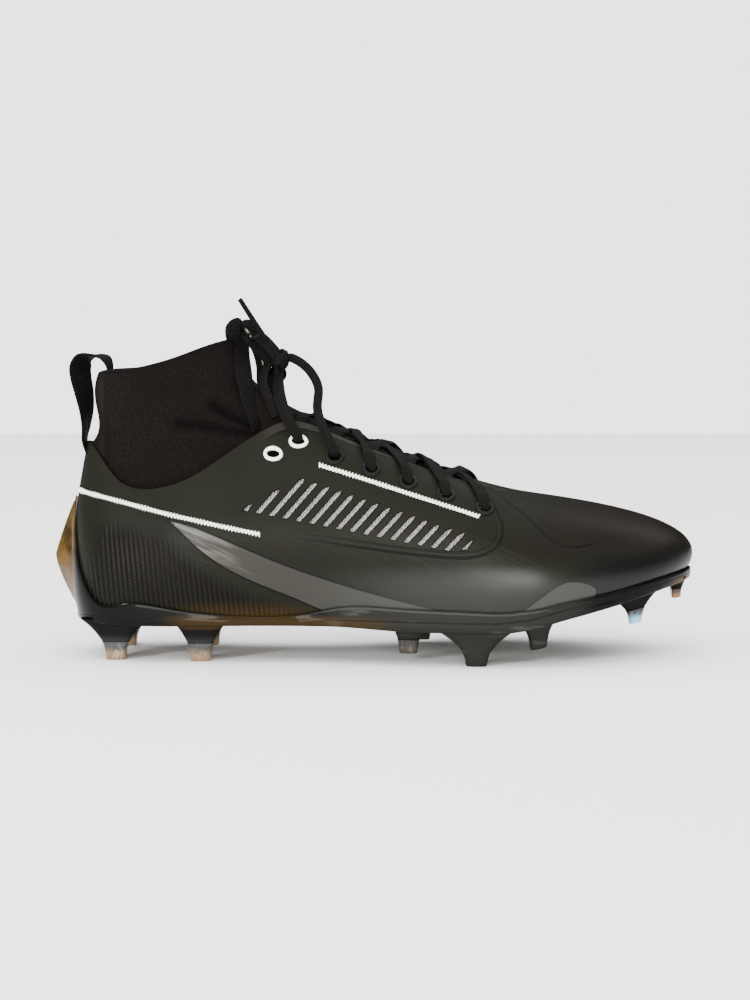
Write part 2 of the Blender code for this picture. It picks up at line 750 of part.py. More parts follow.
def plate_rings():
    """Rings of the plate, from the underside up round its flank and down to the footbed."""
    shares = (0.25, 0.5, 0.75, 1.0)
    under, base, foot, corner, floor = [], [], [], [], []
    outer, inner = [[] for share in shares], [[] for share in shares]
    for place in station_places():
        edge, out = edge_at(place), edge_outward(place)
        bottom, top = underside(edge[0]), footbed(edge[0])
        flank = max(float(FLANK_LOOP.at(place)[0]), 1.2)

        def flat_point(reach, height):
            return np.array([edge[0] + out[0] * reach, edge[1] + out[1] * reach, height])

        under.append(flat_point(-FLAT_INSET, bottom))
        base.append(flat_point(FLANK_GAP + FLANK_FOOT - EDGE_BEVEL, bottom + EDGE_BEVEL))
        foot.append(flat_point(FLANK_GAP + FLANK_FOOT, top))
        for k, share in enumerate(shares):
            level = level_at_height(place, flank * share)
            skin, normal = upper_skin(place, level), upper_normal(place, level)
            wall = FLANK_FOOT + (FLANK_LIP - FLANK_FOOT) * share
            outer[k].append(skin + normal * (FLANK_GAP + wall))
            inner[k].append(skin + normal * FLANK_GAP)
        corner.append(flat_point(FLANK_GAP, top))
        floor.append(flat_point(-2 * FLAT_INSET, top))
    return [under, base, foot] + outer + inner[::-1] + [corner, floor]


def make_plate_body():
    rings = plate_rings()
    count = len(rings[0])
    points = [np.array(p, float) for ring in rings for p in ring]
    faces = []
    for k in range(len(rings) - 1):
        for i in range(count):
            j = (i + 1) % count
            faces.append((k * count + i, k * count + j, (k + 1) * count + j, (k + 1) * count + i))
    top = (len(rings) - 1) * count
    ladder(points, faces, list(range(count)), lambda x, y: underside(x), 4)
    ladder(points, faces, list(range(top, top + count)), lambda x, y: footbed(x), 4)
    return solid_from(points, faces)


def edge_across(x, side):
    """How far out the foot edge is at x."""
    half = ROWS_ROUND / 2
    low, high = 0.3, half - 0.3
    for _ in range(30):
        middle = (low + high) / 2
        place = middle if side < 0 else ROWS_ROUND - middle
        if edge_at(place)[0] < x:
            low = middle
        else:
            high = middle
    place = low if side < 0 else ROWS_ROUND - low
    return edge_at(place)[1]


def stud_rings(stud, start, end, steps):
    """Rings of a flared stud from a share of its height to another; 0 is the tip."""
    name, side, share, inset, tip_long, tip_deep, root_long, root_deep, lift = stud[:9]
    x = along(share)
    outer_face = edge_across(x, side) - side * inset * BALL_WIDTH
    slope = (underside(x + 4.0) - underside(x - 4.0)) / 8.0
    rings = []
    for k in range(steps + 1):
        q = start + (end - start) * k / steps
        flare = q**STUD_FLARE
        long_, deep = tip_long + (root_long - tip_long) * flare, tip_deep + (root_deep - tip_deep) * q
        inward = STUD_LEAN * (1.0 - q) + deep / 2
        ring = []
        for n in range(STUD_SIDES):
            angle = 2 * math.pi * (n + 0.5) / STUD_SIDES
            c, s = math.cos(angle), math.sin(angle)
            px = x + math.copysign(abs(c) ** STUD_ROUNDING, c) * long_ / 2
            py = outer_face - side * inward + math.copysign(abs(s) ** STUD_ROUNDING, s) * deep / 2
            tip = lift * UNDERSIDE_HEIGHT + (slope * (px - x) if lift > 0.05 else 0.0)
            root = underside(px) + PLATE_THICKNESS * 0.5
            ring.append(np.array([px, py, tip + (root - tip) * q]))
        rings.append(ring)
    return rings


def heel_ridge():
    """Upright keel down the back of the heel, a blade that blends into the plate."""
    top = RIDGE_TOP * INSTEP_HEIGHT - edge_at(0.0)[2]
    sections = []
    for share, depth, width in RIDGE:
        height = 1.0 + (top - 1.0) * share
        spread = RIDGE_SPREAD * width
        section = []
        for place in (spread, spread / 2, 0.0, -spread / 2, -spread):
            level = level_at_height(place, height)
            skin = upper_skin(place, level) + upper_normal(place, level) * RIDGE_GAP
            section.append(np.array([skin[0], skin[1], edge_at(0.0)[2] + height]))
        peak = section[2][0] - max(RIDGE_DEPTH * depth, 1.0)
        section += [np.array([peak, y, section[2][2]]) for y in (RIDGE_EDGE / 2, -RIDGE_EDGE / 2)]
        sections.append(section)
    return ring_solid(sections)


def make_plate(shell, clear):
    plate = finish("outsole_plate", make_plate_body(), shell)
    roots = []
    for stud in STUDS:
        tipped = stud[9]
        start = STUD_TIP_SPLIT if tipped else 0.0
        roots.append(ring_solid(stud_rings(stud, start, 1.0, 3 if tipped else 5)))
    boolean(plate, joined("stud roots", roots), "UNION")
    boolean(plate, loose("heel ridge", heel_ridge()), "UNION")
    for stud in STUDS:
        if stud[9]:
            height = underside(along(stud[2])) - stud[8] * UNDERSIDE_HEIGHT
            end = STUD_TIP_SPLIT - MEET / height
            finish("stud_tip_" + stud[0], ring_solid(stud_rings(stud, 0.0, end, 2)), clear)
    return plate


def make_insole(foam):
    """Sockliner on the footbed, inside the upper's wall."""
    reach = UPPER_WALL + MEET
    floor = LINING_GAP
    rings = []
    for inset, lift in ((reach + INSOLE_BEVEL, 0.0), (reach, INSOLE_BEVEL),
                        (reach, INSOLE_THICKNESS - INSOLE_BEVEL),
                        (reach + INSOLE_BEVEL, INSOLE_THICKNESS)):
        ring = []
        for place in station_places():
            point = edge_at(place) - edge_outward(place) * inset
            ring.append(np.array([point[0], point[1], footbed(point[0]) + floor + lift]))
        rings.append(ring)
    points = [p for ring in rings for p in ring]
    count = len(rings[0])
    faces = []
    for k in range(len(rings) - 1):
        for i in range(count):
            j = (i + 1) % count
            faces.append((k * count + i, k * count + j, (k + 1) * count + j, (k + 1) * count + i))
    top = (len(rings) - 1) * count
    ladder(points, faces, list(range(count)), lambda x, y: footbed(x) + floor, 2)
    ladder(points, faces, list(range(top, top + count)),
           lambda x, y: footbed(x) + floor + INSOLE_THICKNESS, 2)
    return finish("insole", solid_from(points, faces), foam)


# Eyelets, webbing loops and laces

def make_eyelets(white, grey):
    for side, word in ((-1, "outer"), (1, "inner")):
        for index in range(len(EYELETS)):
            foot, head = MEET, MEET + EYELET_THICKNESS
            edge = EYELET_RADIUS - EYELET_BEVEL
            rings = [skin_ring(index, side, r, h, 8) for r, h in
                     ((EYELET_RADIUS, foot), (edge, head), (EYELET_BORE, head),
                      (EYELET_BORE, foot))]
            finish(f"eyelet_{word}_{index + 1}", ring_solid(rings, closed_ends=False),
                   white if index < TOP_EYELETS else grey)


def strap(path, width, thickness, across=None):
    """Flat webbing along a path of points, its width level or along a given vector each."""
    rings = []
    for i, point in enumerate(path):
        ahead = path[min(i + 1, len(path) - 1)]
        behind = path[max(i - 1, 0)]
        run = unit(ahead - behind)
        wide = np.array([0.0, 1.0, 0.0]) if across is None else across[i]
        wide = unit(wide - run * float(wide @ run)) * width / 2
        thick = unit(np.cross(run, wide)) * thickness / 2
        rings.append([point - wide - thick, point + wide - thick,
                      point + wide + thick, point - wide + thick])
    return ring_solid(rings)


def smooth_path(points, per_span):
    """Points read off a smooth curve through the given ones."""
    p = np.array(points, float)
    ends = np.vstack([2 * p[0] - p[1], p, 2 * p[-1] - p[-2]])
    path = []
    for i in range(len(p) - 1):
        a, b, c, d = ends[i:i + 4]
        for k in range(per_span):
            t = k / per_span
            path.append(0.5 * (2 * b + (c - a) * t + (2 * a - 5 * b + 4 * c - d) * t * t
                               + (3 * b - a - 3 * c + d) * t**3))
    path.append(p[-1])
    return path


def turned(degrees):
    """Level unit vector across a strap that is turned towards the outer side."""
    turn = math.radians(degrees)
    return np.array([math.sin(turn), math.cos(turn), 0.0])


def webbing_loop(sewn, table, width):
    rows = smooth_path([(x, z, turn) for x, z, turn in table], 2)
    path = [sewn + np.array([x, 0.0, z]) for x, z, turn in rows]
    return strap(path, width, WEBBING_THICKNESS, [turned(turn) for x, z, turn in rows])


def make_heel_loop(webbing):
    height = HEEL_LOOP_HEIGHT * INSTEP_HEIGHT - edge_at(0.0)[2]
    level = level_at_height(0.0, height)
    sewn = upper_skin(0.0, level) + upper_normal(0.0, level) * HEEL_LOOP_STANDOFF
    return finish("heel_pull_loop", webbing_loop(sewn, HEEL_LOOP, HEEL_LOOP_WIDTH), webbing)


def make_front_loop(webbing):
    place, level = FRONT_LOOP_PLACE, FRONT_LOOP_LEVEL
    sewn = knit_skin(place, level) + knit_normal(place, level) * FRONT_LOOP_STANDOFF
    return finish("front_pull_loop", webbing_loop(sewn, FRONT_LOOP, FRONT_LOOP_WIDTH), webbing)


def seen_from_above(names):
    """Search trees of finished objects, in millimetres."""
    trees = []
    for name in names:
        mesh = bpy.data.objects[name].data
        points = [vertex.co / MM for vertex in mesh.vertices]
        trees.append(BVHTree.FromPolygons(points, [tuple(f.vertices) for f in mesh.polygons]))
    return trees


def top_at(trees, x, y):
    heights = [0.0]
    for tree in trees:
        hit = tree.ray_cast(Vector((x, y, 400.0)), Vector((0, 0, -1)))[0]
        if hit is not None:
            heights.append(hit.z)
    return max(heights)


def taut_path(start, end, trees, clearance, across, count):
    """Lace pulled tight from start to end over whatever lies beneath it."""
    level_run = (end - start) * np.array([1.0, 1.0, 0.0])
    length = float(np.linalg.norm(level_run))
    run = level_run / length
    profile = []
    samples = 28
    for k in range(samples + 1):
        s = length * k / samples
        heights = []
        for width in (-0.5, -0.25, 0.0, 0.25, 0.5):
            spot = start + run * s + across * LACE_WIDTH * width
            heights.append(top_at(trees, spot[0], spot[1]) - across[2] * LACE_WIDTH * width)
        profile.append((s, max(heights)))
    hull = []
    for point in profile:
        while len(hull) > 1 and turns_up(hull[-2], hull[-1], point):
            hull.pop()
        hull.append(point)
    path = []
    for k in range(count + 1):
        s = length * k / count
        i = max(n for n in range(len(hull) - 1) if hull[n][0] <= s or n == 0)
        a, b = hull[i], hull[i + 1]
        slope = (b[1] - a[1]) / (b[0] - a[0])
        height = a[1] + slope * (s - a[0]) + clearance * math.sqrt(1.0 + slope * slope)
        path.append(np.array([start[0] + run[0] * s, start[1] + run[1] * s, height]))
    return path


def turns_up(a, b, c):
    return (b[0] - a[0]) * (c[1] - a[1]) >= (b[1] - a[1]) * (c[0] - a[0])


def throat_edge(x, side):
    """The point of the upper's opening at x."""
    low, high = 7.0, 12.9
    for _ in range(30):
        middle = (low + high) / 2
        place = middle if side < 0 else ROWS_ROUND - middle
        if OPENING_LOOP.at(place)[0] < x:
            low = middle
        else:
            high = middle
    return OPENING_LOOP.at(low if side < 0 else ROWS_ROUND - low)


def lace_strand(index, side, trees):
    """Strand that leaves an eyelet and dips to the far edge at the next eyelet up."""
    centre, normal, forward = eyelet_seat(index, side)
    start = centre + normal * (MEET + EYELET_THICKNESS)
    far = throat_edge(along(EYELETS[index - 1][0]), -side)
    inward = -math.copysign(LACE_EDGE_DISTANCE + LACE_WIDTH / 2, far[1])
    end = np.array([far[0] + 1.5, far[1] + inward, 0.0])
    across = unit(throat_edge(start[0] + 6.0, side) - throat_edge(start[0] - 6.0, side)
                  + throat_edge(start[0] + 6.0, -side) - throat_edge(start[0] - 6.0, -side))
    reach = LACE_GAP + LACE_THICKNESS / 2
    path = taut_path(start, end, trees, reach, across, 9)
    return strap(path, LACE_WIDTH, LACE_THICKNESS, [across] * len(path))


def make_lace_crossings(lace):
    rings = ["eyelet_" + word + "_" + str(k + 1) for word in ("outer", "inner")
             for k in range(len(EYELETS))]
    trees = seen_from_above(["upper", "knit_collar"] + rings)
    for index in range(len(EYELETS) - 1, TOP_EYELETS, -1):
        obj = finish("lace_crossing_" + str(len(EYELETS) - index),
                     lace_strand(index, -1, trees), lace)
        boolean(obj, loose("strand", lace_strand(index, 1, trees)), "UNION")
    finish("lace_crossing_" + str(len(EYELETS) - TOP_EYELETS),
           lace_strand(TOP_EYELETS, 1, trees), lace)


def cord(name, points, diameter, lace):
    """Round tube along a smooth curve through hand placed points."""
    path = smooth_path(points, 2)
    curve = bpy.data.curves.new(name, "CURVE")
    curve.dimensions = "3D"
    curve.bevel_depth = diameter / 2 * MM
    curve.bevel_resolution = 2
    curve.use_fill_caps = True
    spline = curve.splines.new("POLY")
    spline.points.add(len(path) - 1)
    for point, target in zip(spline.points, path):
        point.co = (*(float(c) * MM for c in target), 1.0)
    obj = bpy.data.objects.new(name, curve)
    bpy.context.scene.collection.objects.link(obj)
    obj.data.materials.append(lace)
    return obj


def make_knot(lace):
    """Lumpy knot: two turns of lace round a core."""
    rings = []
    for k in range(9):
        polar = math.pi * (KNOT_ENDS + (1.0 - 2 * KNOT_ENDS) * k / 8)
        ring = []
        for n in range(12):
            angle = 2 * math.pi * n / 12
            lump = 1.0 - KNOT_LUMP * math.cos(2 * angle + 5 * polar)
            ring.append(np.array(KNOT_CENTRE) + lump * np.array([
                KNOT_SIZE[0] / 2 * math.sin(polar) * math.cos(angle),
                KNOT_SIZE[1] / 2 * math.sin(polar) * math.sin(angle),
                KNOT_SIZE[2] / 2 * math.cos(polar)]))
        rings.append(ring)
    return finish("lace_knot", ring_solid(rings), lace)


def make_free_lace(lace):
    make_knot(lace)
    cord("lace_arc_outer", LACE_ARC, CORD_DIAMETER, lace)
    cord("lace_rise_outer", LACE_RISE_OUTER, CORD_DIAMETER, lace)
    cord("lace_rise_inner", LACE_RISE_INNER, CORD_DIAMETER, lace)
    cord("lace_end_up", LACE_END_UP, LACE_TIP_DIAMETER, lace)
    cord("lace_end_down", LACE_END_DOWN, LACE_TIP_DIAMETER, lace)


def main():
    for obj in list(bpy.data.objects):
        bpy.data.objects.remove(obj)
    skin = material("upper skin", (0.045, 0.044, 0.036), 0.5)
    knit = material("knit", (0.012, 0.011, 0.011), 0.9)
    shell = material("plate", (0.055, 0.055, 0.055), 0.25)
    clear = material("stud tip", (0.45, 0.32, 0.22), 0.3)
    foam = material("insole foam", (0.03, 0.03, 0.03), 0.85)
    cloth = material("vent mesh", (0.33, 0.33, 0.31), 0.8)
    white = material("white eyelet", (0.85, 0.85, 0.82), 0.5)
    grey = material("dark eyelet", (0.05, 0.05, 0.048), 0.5)
    webbing = material("webbing", (0.012, 0.012, 0.012), 0.8)
    lace = material("lace", (0.010, 0.010, 0.010), 0.85)
    make_upper(skin)
    make_vent_mesh("vent_mesh_outer", -1, cloth)
    make_vent_mesh("vent_mesh_inner", 1, cloth)
    make_collar(knit)
    make_plate(shell, clear)
    make_insole(foam)
    make_eyelets(white, grey)
    make_heel_loop(webbing)
    make_front_loop(webbing)
    make_lace_crossings(lace)
    make_free_lace(lace)


main()
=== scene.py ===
"""Looks of an American football cleat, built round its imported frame.

The file is laid out as a Blender add-on and run as a script. Sizes are in millimetres, +X runs from
heel to toe and -Y is the outer side of the foot.
"""

import math

import bmesh
import bpy
import numpy as np
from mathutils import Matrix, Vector
from mathutils.bvhtree import BVHTree


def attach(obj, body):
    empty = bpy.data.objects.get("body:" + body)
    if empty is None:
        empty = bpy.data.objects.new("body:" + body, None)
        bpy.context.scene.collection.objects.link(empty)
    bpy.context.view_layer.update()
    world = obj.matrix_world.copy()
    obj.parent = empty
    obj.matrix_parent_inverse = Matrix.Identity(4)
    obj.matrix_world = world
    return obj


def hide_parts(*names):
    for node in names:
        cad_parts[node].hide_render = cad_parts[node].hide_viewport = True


bl_info = {
    "name": "Football cleat",
    "version": (1, 0, 0),
    "blender": (4, 5, 0),
    "location": "3D View > Sidebar > Cleat",
    "description": "Builds the finished look of an American football cleat round its frame",
    "category": "Object",
}

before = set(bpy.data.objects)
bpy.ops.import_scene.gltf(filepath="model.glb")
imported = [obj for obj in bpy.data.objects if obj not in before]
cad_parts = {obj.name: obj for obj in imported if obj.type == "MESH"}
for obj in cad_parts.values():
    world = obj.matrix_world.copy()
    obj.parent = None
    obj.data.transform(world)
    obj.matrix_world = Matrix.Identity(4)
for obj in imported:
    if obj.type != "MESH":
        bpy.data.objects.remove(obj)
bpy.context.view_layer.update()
MM = 0.001

# Driving sizes, as in the frame's source
UPPER_LENGTH = 298.0
HEEL_BACK = -144.0
BALL_WIDTH = 96.0
INSTEP_HEIGHT = 113.0
COLLAR_HEIGHT = 150.5
COLLAR_LENGTH = 68.0
COLLAR_WIDTH = 55.0
COLLAR_BACK = 0.042
UNDERSIDE_HEIGHT = 16.0
TOE_SPRING = 20.5
UPPER_WALL = 1.8
KNIT_WALL = 2.2
KNIT_GAP = 0.7
PLATE_THICKNESS = 3.2
MEET = 0.3
FLANK_GAP = 0.5
FLANK_FOOT = 1.9
FLANK_LIP = 1.0
BINDING_LEVEL = 0.955
BINDING_STEP = 0.45
BINDING_STEP_RUN = 0.008
LIP_ROLL = 0.35

# Foot edge: along, outer, inner, lean, lift, carry, flank
FOOT_EDGE = [
    (0.012, 0.000, 0.000, 0.078, 0.240, 0.00, 0.480),
    (0.037, 0.219, 0.219, 0.073, 0.240, 0.05, 0.125),
    (0.094, 0.323, 0.318, 0.063, 0.230, 0.20, 0.062),
    (0.174, 0.349, 0.328, 0.063, 0.215, 0.33, 0.044),
    (0.268, 0.344, 0.292, 0.055, 0.215, 0.33, 0.014),
    (0.362, 0.354, 0.271, 0.055, 0.220, 0.33, 0.018),
    (0.456, 0.396, 0.302, 0.055, 0.230, 0.30, 0.060),
    (0.550, 0.453, 0.385, 0.057, 0.230, 0.22, 0.066),
    (0.644, 0.490, 0.458, 0.063, 0.230, 0.10, 0.060),
    (0.738, 0.484, 0.474, 0.063, 0.230, 0.00, 0.048),
    (0.832, 0.417, 0.438, 0.073, 0.215, 0.00, 0.034),
    (0.906, 0.307, 0.359, 0.100, 0.200, 0.00, 0.024),
    (0.960, 0.135, 0.255, 0.140, 0.195, 0.00, 0.018),
    (0.987, -0.073, 0.073, 0.166, 0.195, 0.00, 0.016),
]
# Opening: along, across, height, bulge, drop, tail
OPENING = [
    (0.023, 0.000, 0.903, 0.050, 0.215, 0.00),
    (0.042, 0.135, 0.867, 0.062, 0.200, 0.05),
    (0.074, 0.229, 0.770, 0.068, 0.205, 0.25),
    (0.117, 0.286, 0.717, 0.070, 0.195, 0.33),
    (0.188, 0.323, 0.757, 0.073, 0.212, 0.33),
    (0.255, 0.318, 0.867, 0.104, 0.230, 0.33),
    (0.310, 0.286, 0.960, 0.115, 0.230, 0.33),
    (0.363, 0.250, 0.997, 0.125, 0.212, 0.36),
    (0.436, 0.229, 0.927, 0.130, 0.177, 0.42),
    (0.522, 0.208, 0.839, 0.130, 0.142, 0.46),
    (0.601, 0.177, 0.762, 0.085, 0.100, 0.52),
    (0.651, 0.125, 0.716, 0.030, 0.075, 0.60),
    (0.675, 0.057, 0.701, 0.000, 0.066, 0.65),
    (0.681, 0.000, 0.699, 0.000, 0.064, 0.66),
]
# Collar: along, across, height, back, inward, up, front, down
COLLAR = [
    (0.000, 0.000, 0.893, -0.024, 0.000, 0.080, -0.018, 0.100),
    (0.030, 0.164, 0.897, -0.020, 0.000, 0.080, -0.014, 0.100),
    (0.110, 0.318, 0.900, -0.008, -0.010, 0.115, -0.005, 0.124),
    (0.250, 0.436, 0.903, 0.000, -0.020, 0.133, 0.000, 0.133),
    (0.412, 0.491, 0.917, 0.007, -0.020, 0.133, 0.000, 0.124),
    (0.573, 0.500, 0.938, 0.015, -0.010, 0.106, 0.007, 0.115),
    (0.720, 0.464, 0.963, 0.020, 0.010, 0.070, 0.018, 0.140),
    (0.816, 0.400, 0.979, 0.027, 0.035, 0.060, 0.028, 0.195),
    (0.882, 0.336, 0.988, 0.052, 0.065, 0.115, 0.030, 0.255),
    (0.926, 0.264, 0.993, 0.105, 0.090, 0.185, 0.026, 0.315),
    (0.959, 0.191, 0.996, 0.180, 0.085, 0.256, 0.020, 0.360),
    (0.981, 0.127, 0.998, 0.245, 0.060, 0.325, 0.013, 0.388),
    (0.994, 0.064, 0.999, 0.284, 0.030, 0.365, 0.009, 0.405),
    (1.000, 0.000, 1.000, 0.296, 0.000, 0.377, 0.008, 0.410),
]
# Underside of the plate: along, arch, rise
UNDERSIDE = [
    (-0.06, 1.12, 0.00), (0.13, 1.09, 0.00), (0.41, 1.11, 0.00), (0.54, 1.01, 0.00),
    (0.67, 1.00, 0.00), (0.72, 1.00, 0.08), (0.77, 1.00, 0.27), (0.85, 1.00, 0.55),
    (0.93, 1.00, 0.84), (1.00, 1.00, 1.00), (1.04, 1.00, 1.06),
]
# Studs: name, side, along, inset, tip length and depth, root length and depth, lift, tip's look
STUDS = [
    ("heel_outer_rear", -1, 0.074, 0.030, 9.4, 7.5, 33.0, 13.0, 0.00, "heel"),
    ("heel_outer_front", -1, 0.209, 0.030, 10.0, 7.5, 27.0, 13.0, 0.00, "heel"),
    ("heel_inner_rear", 1, 0.074, 0.030, 9.4, 7.5, 33.0, 13.0, 0.00, "heel"),
    ("heel_inner_front", 1, 0.209, 0.030, 10.0, 7.5, 27.0, 13.0, 0.00, "heel"),
    ("ball_outer_rear", -1, 0.536, 0.140, 9.0, 8.0, 18.0, 13.0, 0.22, "front"),
    ("ball_outer", -1, 0.640, 0.020, 10.0, 7.0, 42.0, 12.0, 0.00, ""),
    ("ball_outer_front", -1, 0.738, 0.075, 8.0, 8.0, 18.0, 13.0, 0.46, ""),
    ("toe_outer", -1, 0.893, 0.050, 6.0, 6.5, 25.0, 11.0, 1.10, "pale"),
    ("toe_tip", 1, 0.966, 0.230, 4.5, 7.0, 9.5, 11.0, 1.70, "amber"),
    ("ball_inner_rear", 1, 0.560, 0.060, 9.0, 7.5, 24.0, 12.0, 0.12, "front"),
    ("ball_inner", 1, 0.665, 0.030, 10.0, 7.0, 34.0, 12.0, 0.00, "front"),
    ("toe_inner", 1, 0.800, 0.045, 8.0, 7.0, 26.0, 12.0, 0.70, "pale"),
]
STUD_TIP_SPLIT = 0.46
STUD_FLARE = 2.3
STUD_ROUNDING = 0.5
STUD_LEAN = 1.6
# Keel at the heel: share of height, of depth, of spread
RIDGE = [(0.00, 0.15, 0.65), (0.25, 0.62, 0.96), (0.48, 1.00, 0.97), (0.74, 0.55, 0.68),
         (1.00, 0.12, 0.48)]
RIDGE_DEPTH = 8.6
RIDGE_SPREAD = 0.5
RIDGE_TOP = 0.645
RIDGE_GAP = 0.9
RIDGE_EDGE = 1.4

# Eyelets from the top one down to the vamp: along, height
EYELETS = [(0.3255, 0.864), (0.3641, 0.915), (0.4208, 0.854), (0.4772, 0.804), (0.5342, 0.752),
           (0.5926, 0.700), (0.6523, 0.646)]
WHITE_EYELETS = 2
EYELET_DRILL = 2.4
# Half length and half width of a ring and of its bore
WHITE_RING = ((4.5, 3.6), (2.95, 1.8))
DARK_RING = ((4.5, 4.1), (2.5, 2.1))
# Dark discs of painted shade behind the lace holes, where a lining sits: half length and half width,
# and depths below the shell
HOLE_SHADE_SIZE = (3.6, 3.2)
HOLE_SHADE_DEPTHS = (0.9, 0.1)
VENT_COUNT = 15
VENT_FIRST = ((0.3023, 0.623), (0.3537, 0.779))
VENT_LAST = ((0.5926, 0.4805), (0.6178, 0.5487))
VENT_FIRST_LENGTH = 0.60
VENT_REACH = (0.18, 0.75)
VENT_SLOT_WIDTH = 2.2
VENT_LINING_DEPTHS = (1.25, 1.9)
VENT_LINING_PLACES_BEYOND = 0.8
VENT_LINING_LEVELS_BELOW = 0.05
VENT_LINING_LEVELS_ABOVE = 0.025

# Side view lines on the upper: x, z
HEEL_PIPING = [
    (-140.1, 79.0), (-128.5, 77.1), (-115.2, 74.2), (-96.2, 69.7), (-83.7, 67.1), (-71.3, 64.5),
    (-52.9, 60.8),
]
EYESTAY_PIPING = [(-25.8, 92.5), (-6.9, 86.7), (11.5, 80.8), (29.7, 75.0), (47.5, 69.2)]
PANEL_TOP = [
    (-97.0, 67.4), (-85.3, 64.4), (-71.3, 59.0), (-40.5, 46.1), (-10.1, 36.2), (20.6, 28.5),
    (38.0, 25.0),
]
PANEL_FOOT = [
    (-11.5, 20.4), (-20.8, 23.5), (-37.9, 30.9), (-53.1, 37.0), (-68.2, 44.3), (-80.6, 53.0),
    (-90.9, 62.6), (-97.0, 67.4),
]
PANEL_BELOW = [(38.0, 8.0), (-11.5, 8.0)]
FRONT_PANEL = [
    (66.0, 25.5), (74.0, 31.5), (82.0, 37.2), (88.0, 39.8), (94.0, 39.6), (99.0, 37.9),
    (101.8, 35.5), (100.5, 31.5), (96.0, 26.0),
]
FRONT_PANEL_BELOW = [(96.0, 12.0), (66.0, 12.0)]
QUARTER_SEAM = [
    (55.0, 73.0), (57.2, 68.6), (58.5, 64.7), (57.7, 59.0), (53.7, 54.6), (46.3, 51.6),
    (35.5, 50.9), (14.5, 52.5), (-10.1, 55.4), (-40.6, 59.1),
]
TOE_SEAM = [
    (60.0, 76.0), (67.2, 70.5), (72.5, 65.7), (80.1, 58.6), (89.3, 54.9), (98.8, 55.5),
    (107.0, 57.4),
]
RIBBED_HEEL = [
    (-130.0, 66.0), (-118.0, 70.0), (-104.0, 67.0), (-97.0, 66.0), (-90.9, 61.4), (-80.6, 51.8),
    (-68.2, 43.1), (-53.1, 35.8), (-37.9, 29.7), (-20.8, 22.3), (-10.0, 5.0), (-150.0, 5.0),
    (-138.0, 45.0),
]
COLLAR_CREASES = [
    [(-90.0, 111.0), (-76.0, 109.6), (-64.0, 107.4), (-52.0, 106.4)],
    [(-74.0, 119.0), (-64.0, 113.6), (-54.0, 109.0)],
]
CREASE_WIDTH = 2.2
CREASE_DEPTH = 1.9
PUFF_HEIGHT = 1.2
PUFF_WIDTH = 3.6
PUFF_FROM_CREASE = 6.0
KNIT_WAVE = 0.35
RIM_ROUND = 0.7
SPINE_FRONT = -126.5

# Laces and webbing
LACE_GAP = 0.8
LACE_EDGE_DISTANCE = 1.5
LACE_TUCK_DEPTH = 2.6
LACE_EXIT_HEIGHT = 0.4
# Lift of a strand over the one that it crosses, and of the one beneath
STRAND_OVER = 1.9
STRAND_UNDER = 0.3
TOP_STRAND_LIFT = 0.6
TAUT_STEPS = 28
HEEL_LOOP = [
    (3.0, -1.5, 0), (1.0, 5.0, 0), (1.8, 12.0, 8), (2.0, 20.0, 22), (1.0, 28.0, 34),
    (-0.4, 35.0, 40), (-0.6, 40.0, 42), (1.8, 44.0, 40), (6.6, 45.4, 30), (11.4, 44.2, 16),
    (13.4, 40.0, 4), (13.4, 34.0, 0),
]
# Front loop: rear strand as x, z seen from the side and standoff, then the rest as x, y, z
FRONT_LOOP_REAR = [
    (-53.8, 110.0, -1.4), (-55.4, 113.6, 1.1), (-58.4, 120.0, 1.6), (-61.6, 130.0, 1.6),
    (-63.9, 140.0, 1.6), (-64.8, 148.0, 1.6),
]
FRONT_LOOP_TOP = [
    (-65.6, -11.6, 152.4), (-65.0, -10.8, 154.9), (-62.4, -9.9, 155.6), (-59.8, -9.4, 154.6),
    (-58.2, -9.2, 151.4), (-54.8, -9.0, 146.0), (-52.6, -9.0, 138.0), (-52.2, -9.4, 130.0),
    (-50.2, -10.4, 125.6),
]
HEEL_LOOP_HEIGHT = 0.855
HEEL_LOOP_STANDOFF = 1.5
HEEL_LOOP_WIDTH = 13.0
FRONT_LOOP_WIDTH = 10.0
FRONT_LOOP_TURN = 38.0
FRONT_LOOP_TOP_TURN = 30.0
FRONT_LOOP_TOP_HEIGHT = 156.0
FRONT_LOOP_TOP_REACH = 6.0
# Run along the front loop from which its pale dashes of painted glint highlight start
FRONT_LOOP_GLINTS_FROM = 58.0
WEBBING_THICKNESS = 1.4
# The free lace's route: x, y, z
LACE_ARC = [
    (-18.8, -35.3, 99.4), (-24.2, -30.0, 110.0), (-26.8, -21.8, 118.0), (-26.6, -17.0, 128.0),
    (-31.6, -13.0, 136.4), (-39.4, -10.2, 141.4),
]
LACE_RISE_OUTER = [
    (-35.9, -32.8, 106.1), (-40.0, -30.4, 113.0), (-44.0, -22.6, 122.0), (-45.7, -13.6, 132.2),
]
LACE_RISE_INNER = [
    (-35.9, 31.8, 106.6), (-42.5, 30.5, 111.5), (-48.0, 24.5, 118.5), (-50.0, 16.5, 125.0),
    (-50.5, 8.0, 126.2), (-49.0, -2.0, 131.0),
]
LACE_END_UP = [
    (-48.8, -13.0, 146.2), (-52.8, -16.8, 152.6), (-57.4, -18.8, 160.0), (-62.9, -19.8, 168.8),
]
LACE_END_DOWN = [
    (-50.5, -13.1, 137.9), (-52.4, -17.4, 131.6), (-51.4, -20.2, 126.4), (-49.4, -22.0, 122.0),
    (-47.8, -23.6, 117.6), (-46.6, -24.8, 114.0),
]
KNOT_CENTRE = (-45.0, -11.0, 140.4)
KNOT_EAR = [
    (-44.0, -12.5, 139.0), (-47.5, -14.6, 144.5), (-52.0, -15.0, 149.5), (-55.0, -14.4, 151.6),
    (-56.6, -12.6, 149.4), (-54.0, -11.2, 145.0), (-49.0, -10.6, 140.5), (-44.5, -10.6, 138.0),
]

# Camera
CAMERA_TARGET = (0.0, 0.0, 0.0733)
CAMERA_DISTANCE = 0.905
CAMERA_ELEVATION = 5.0
CAMERA_LENS = 68.0

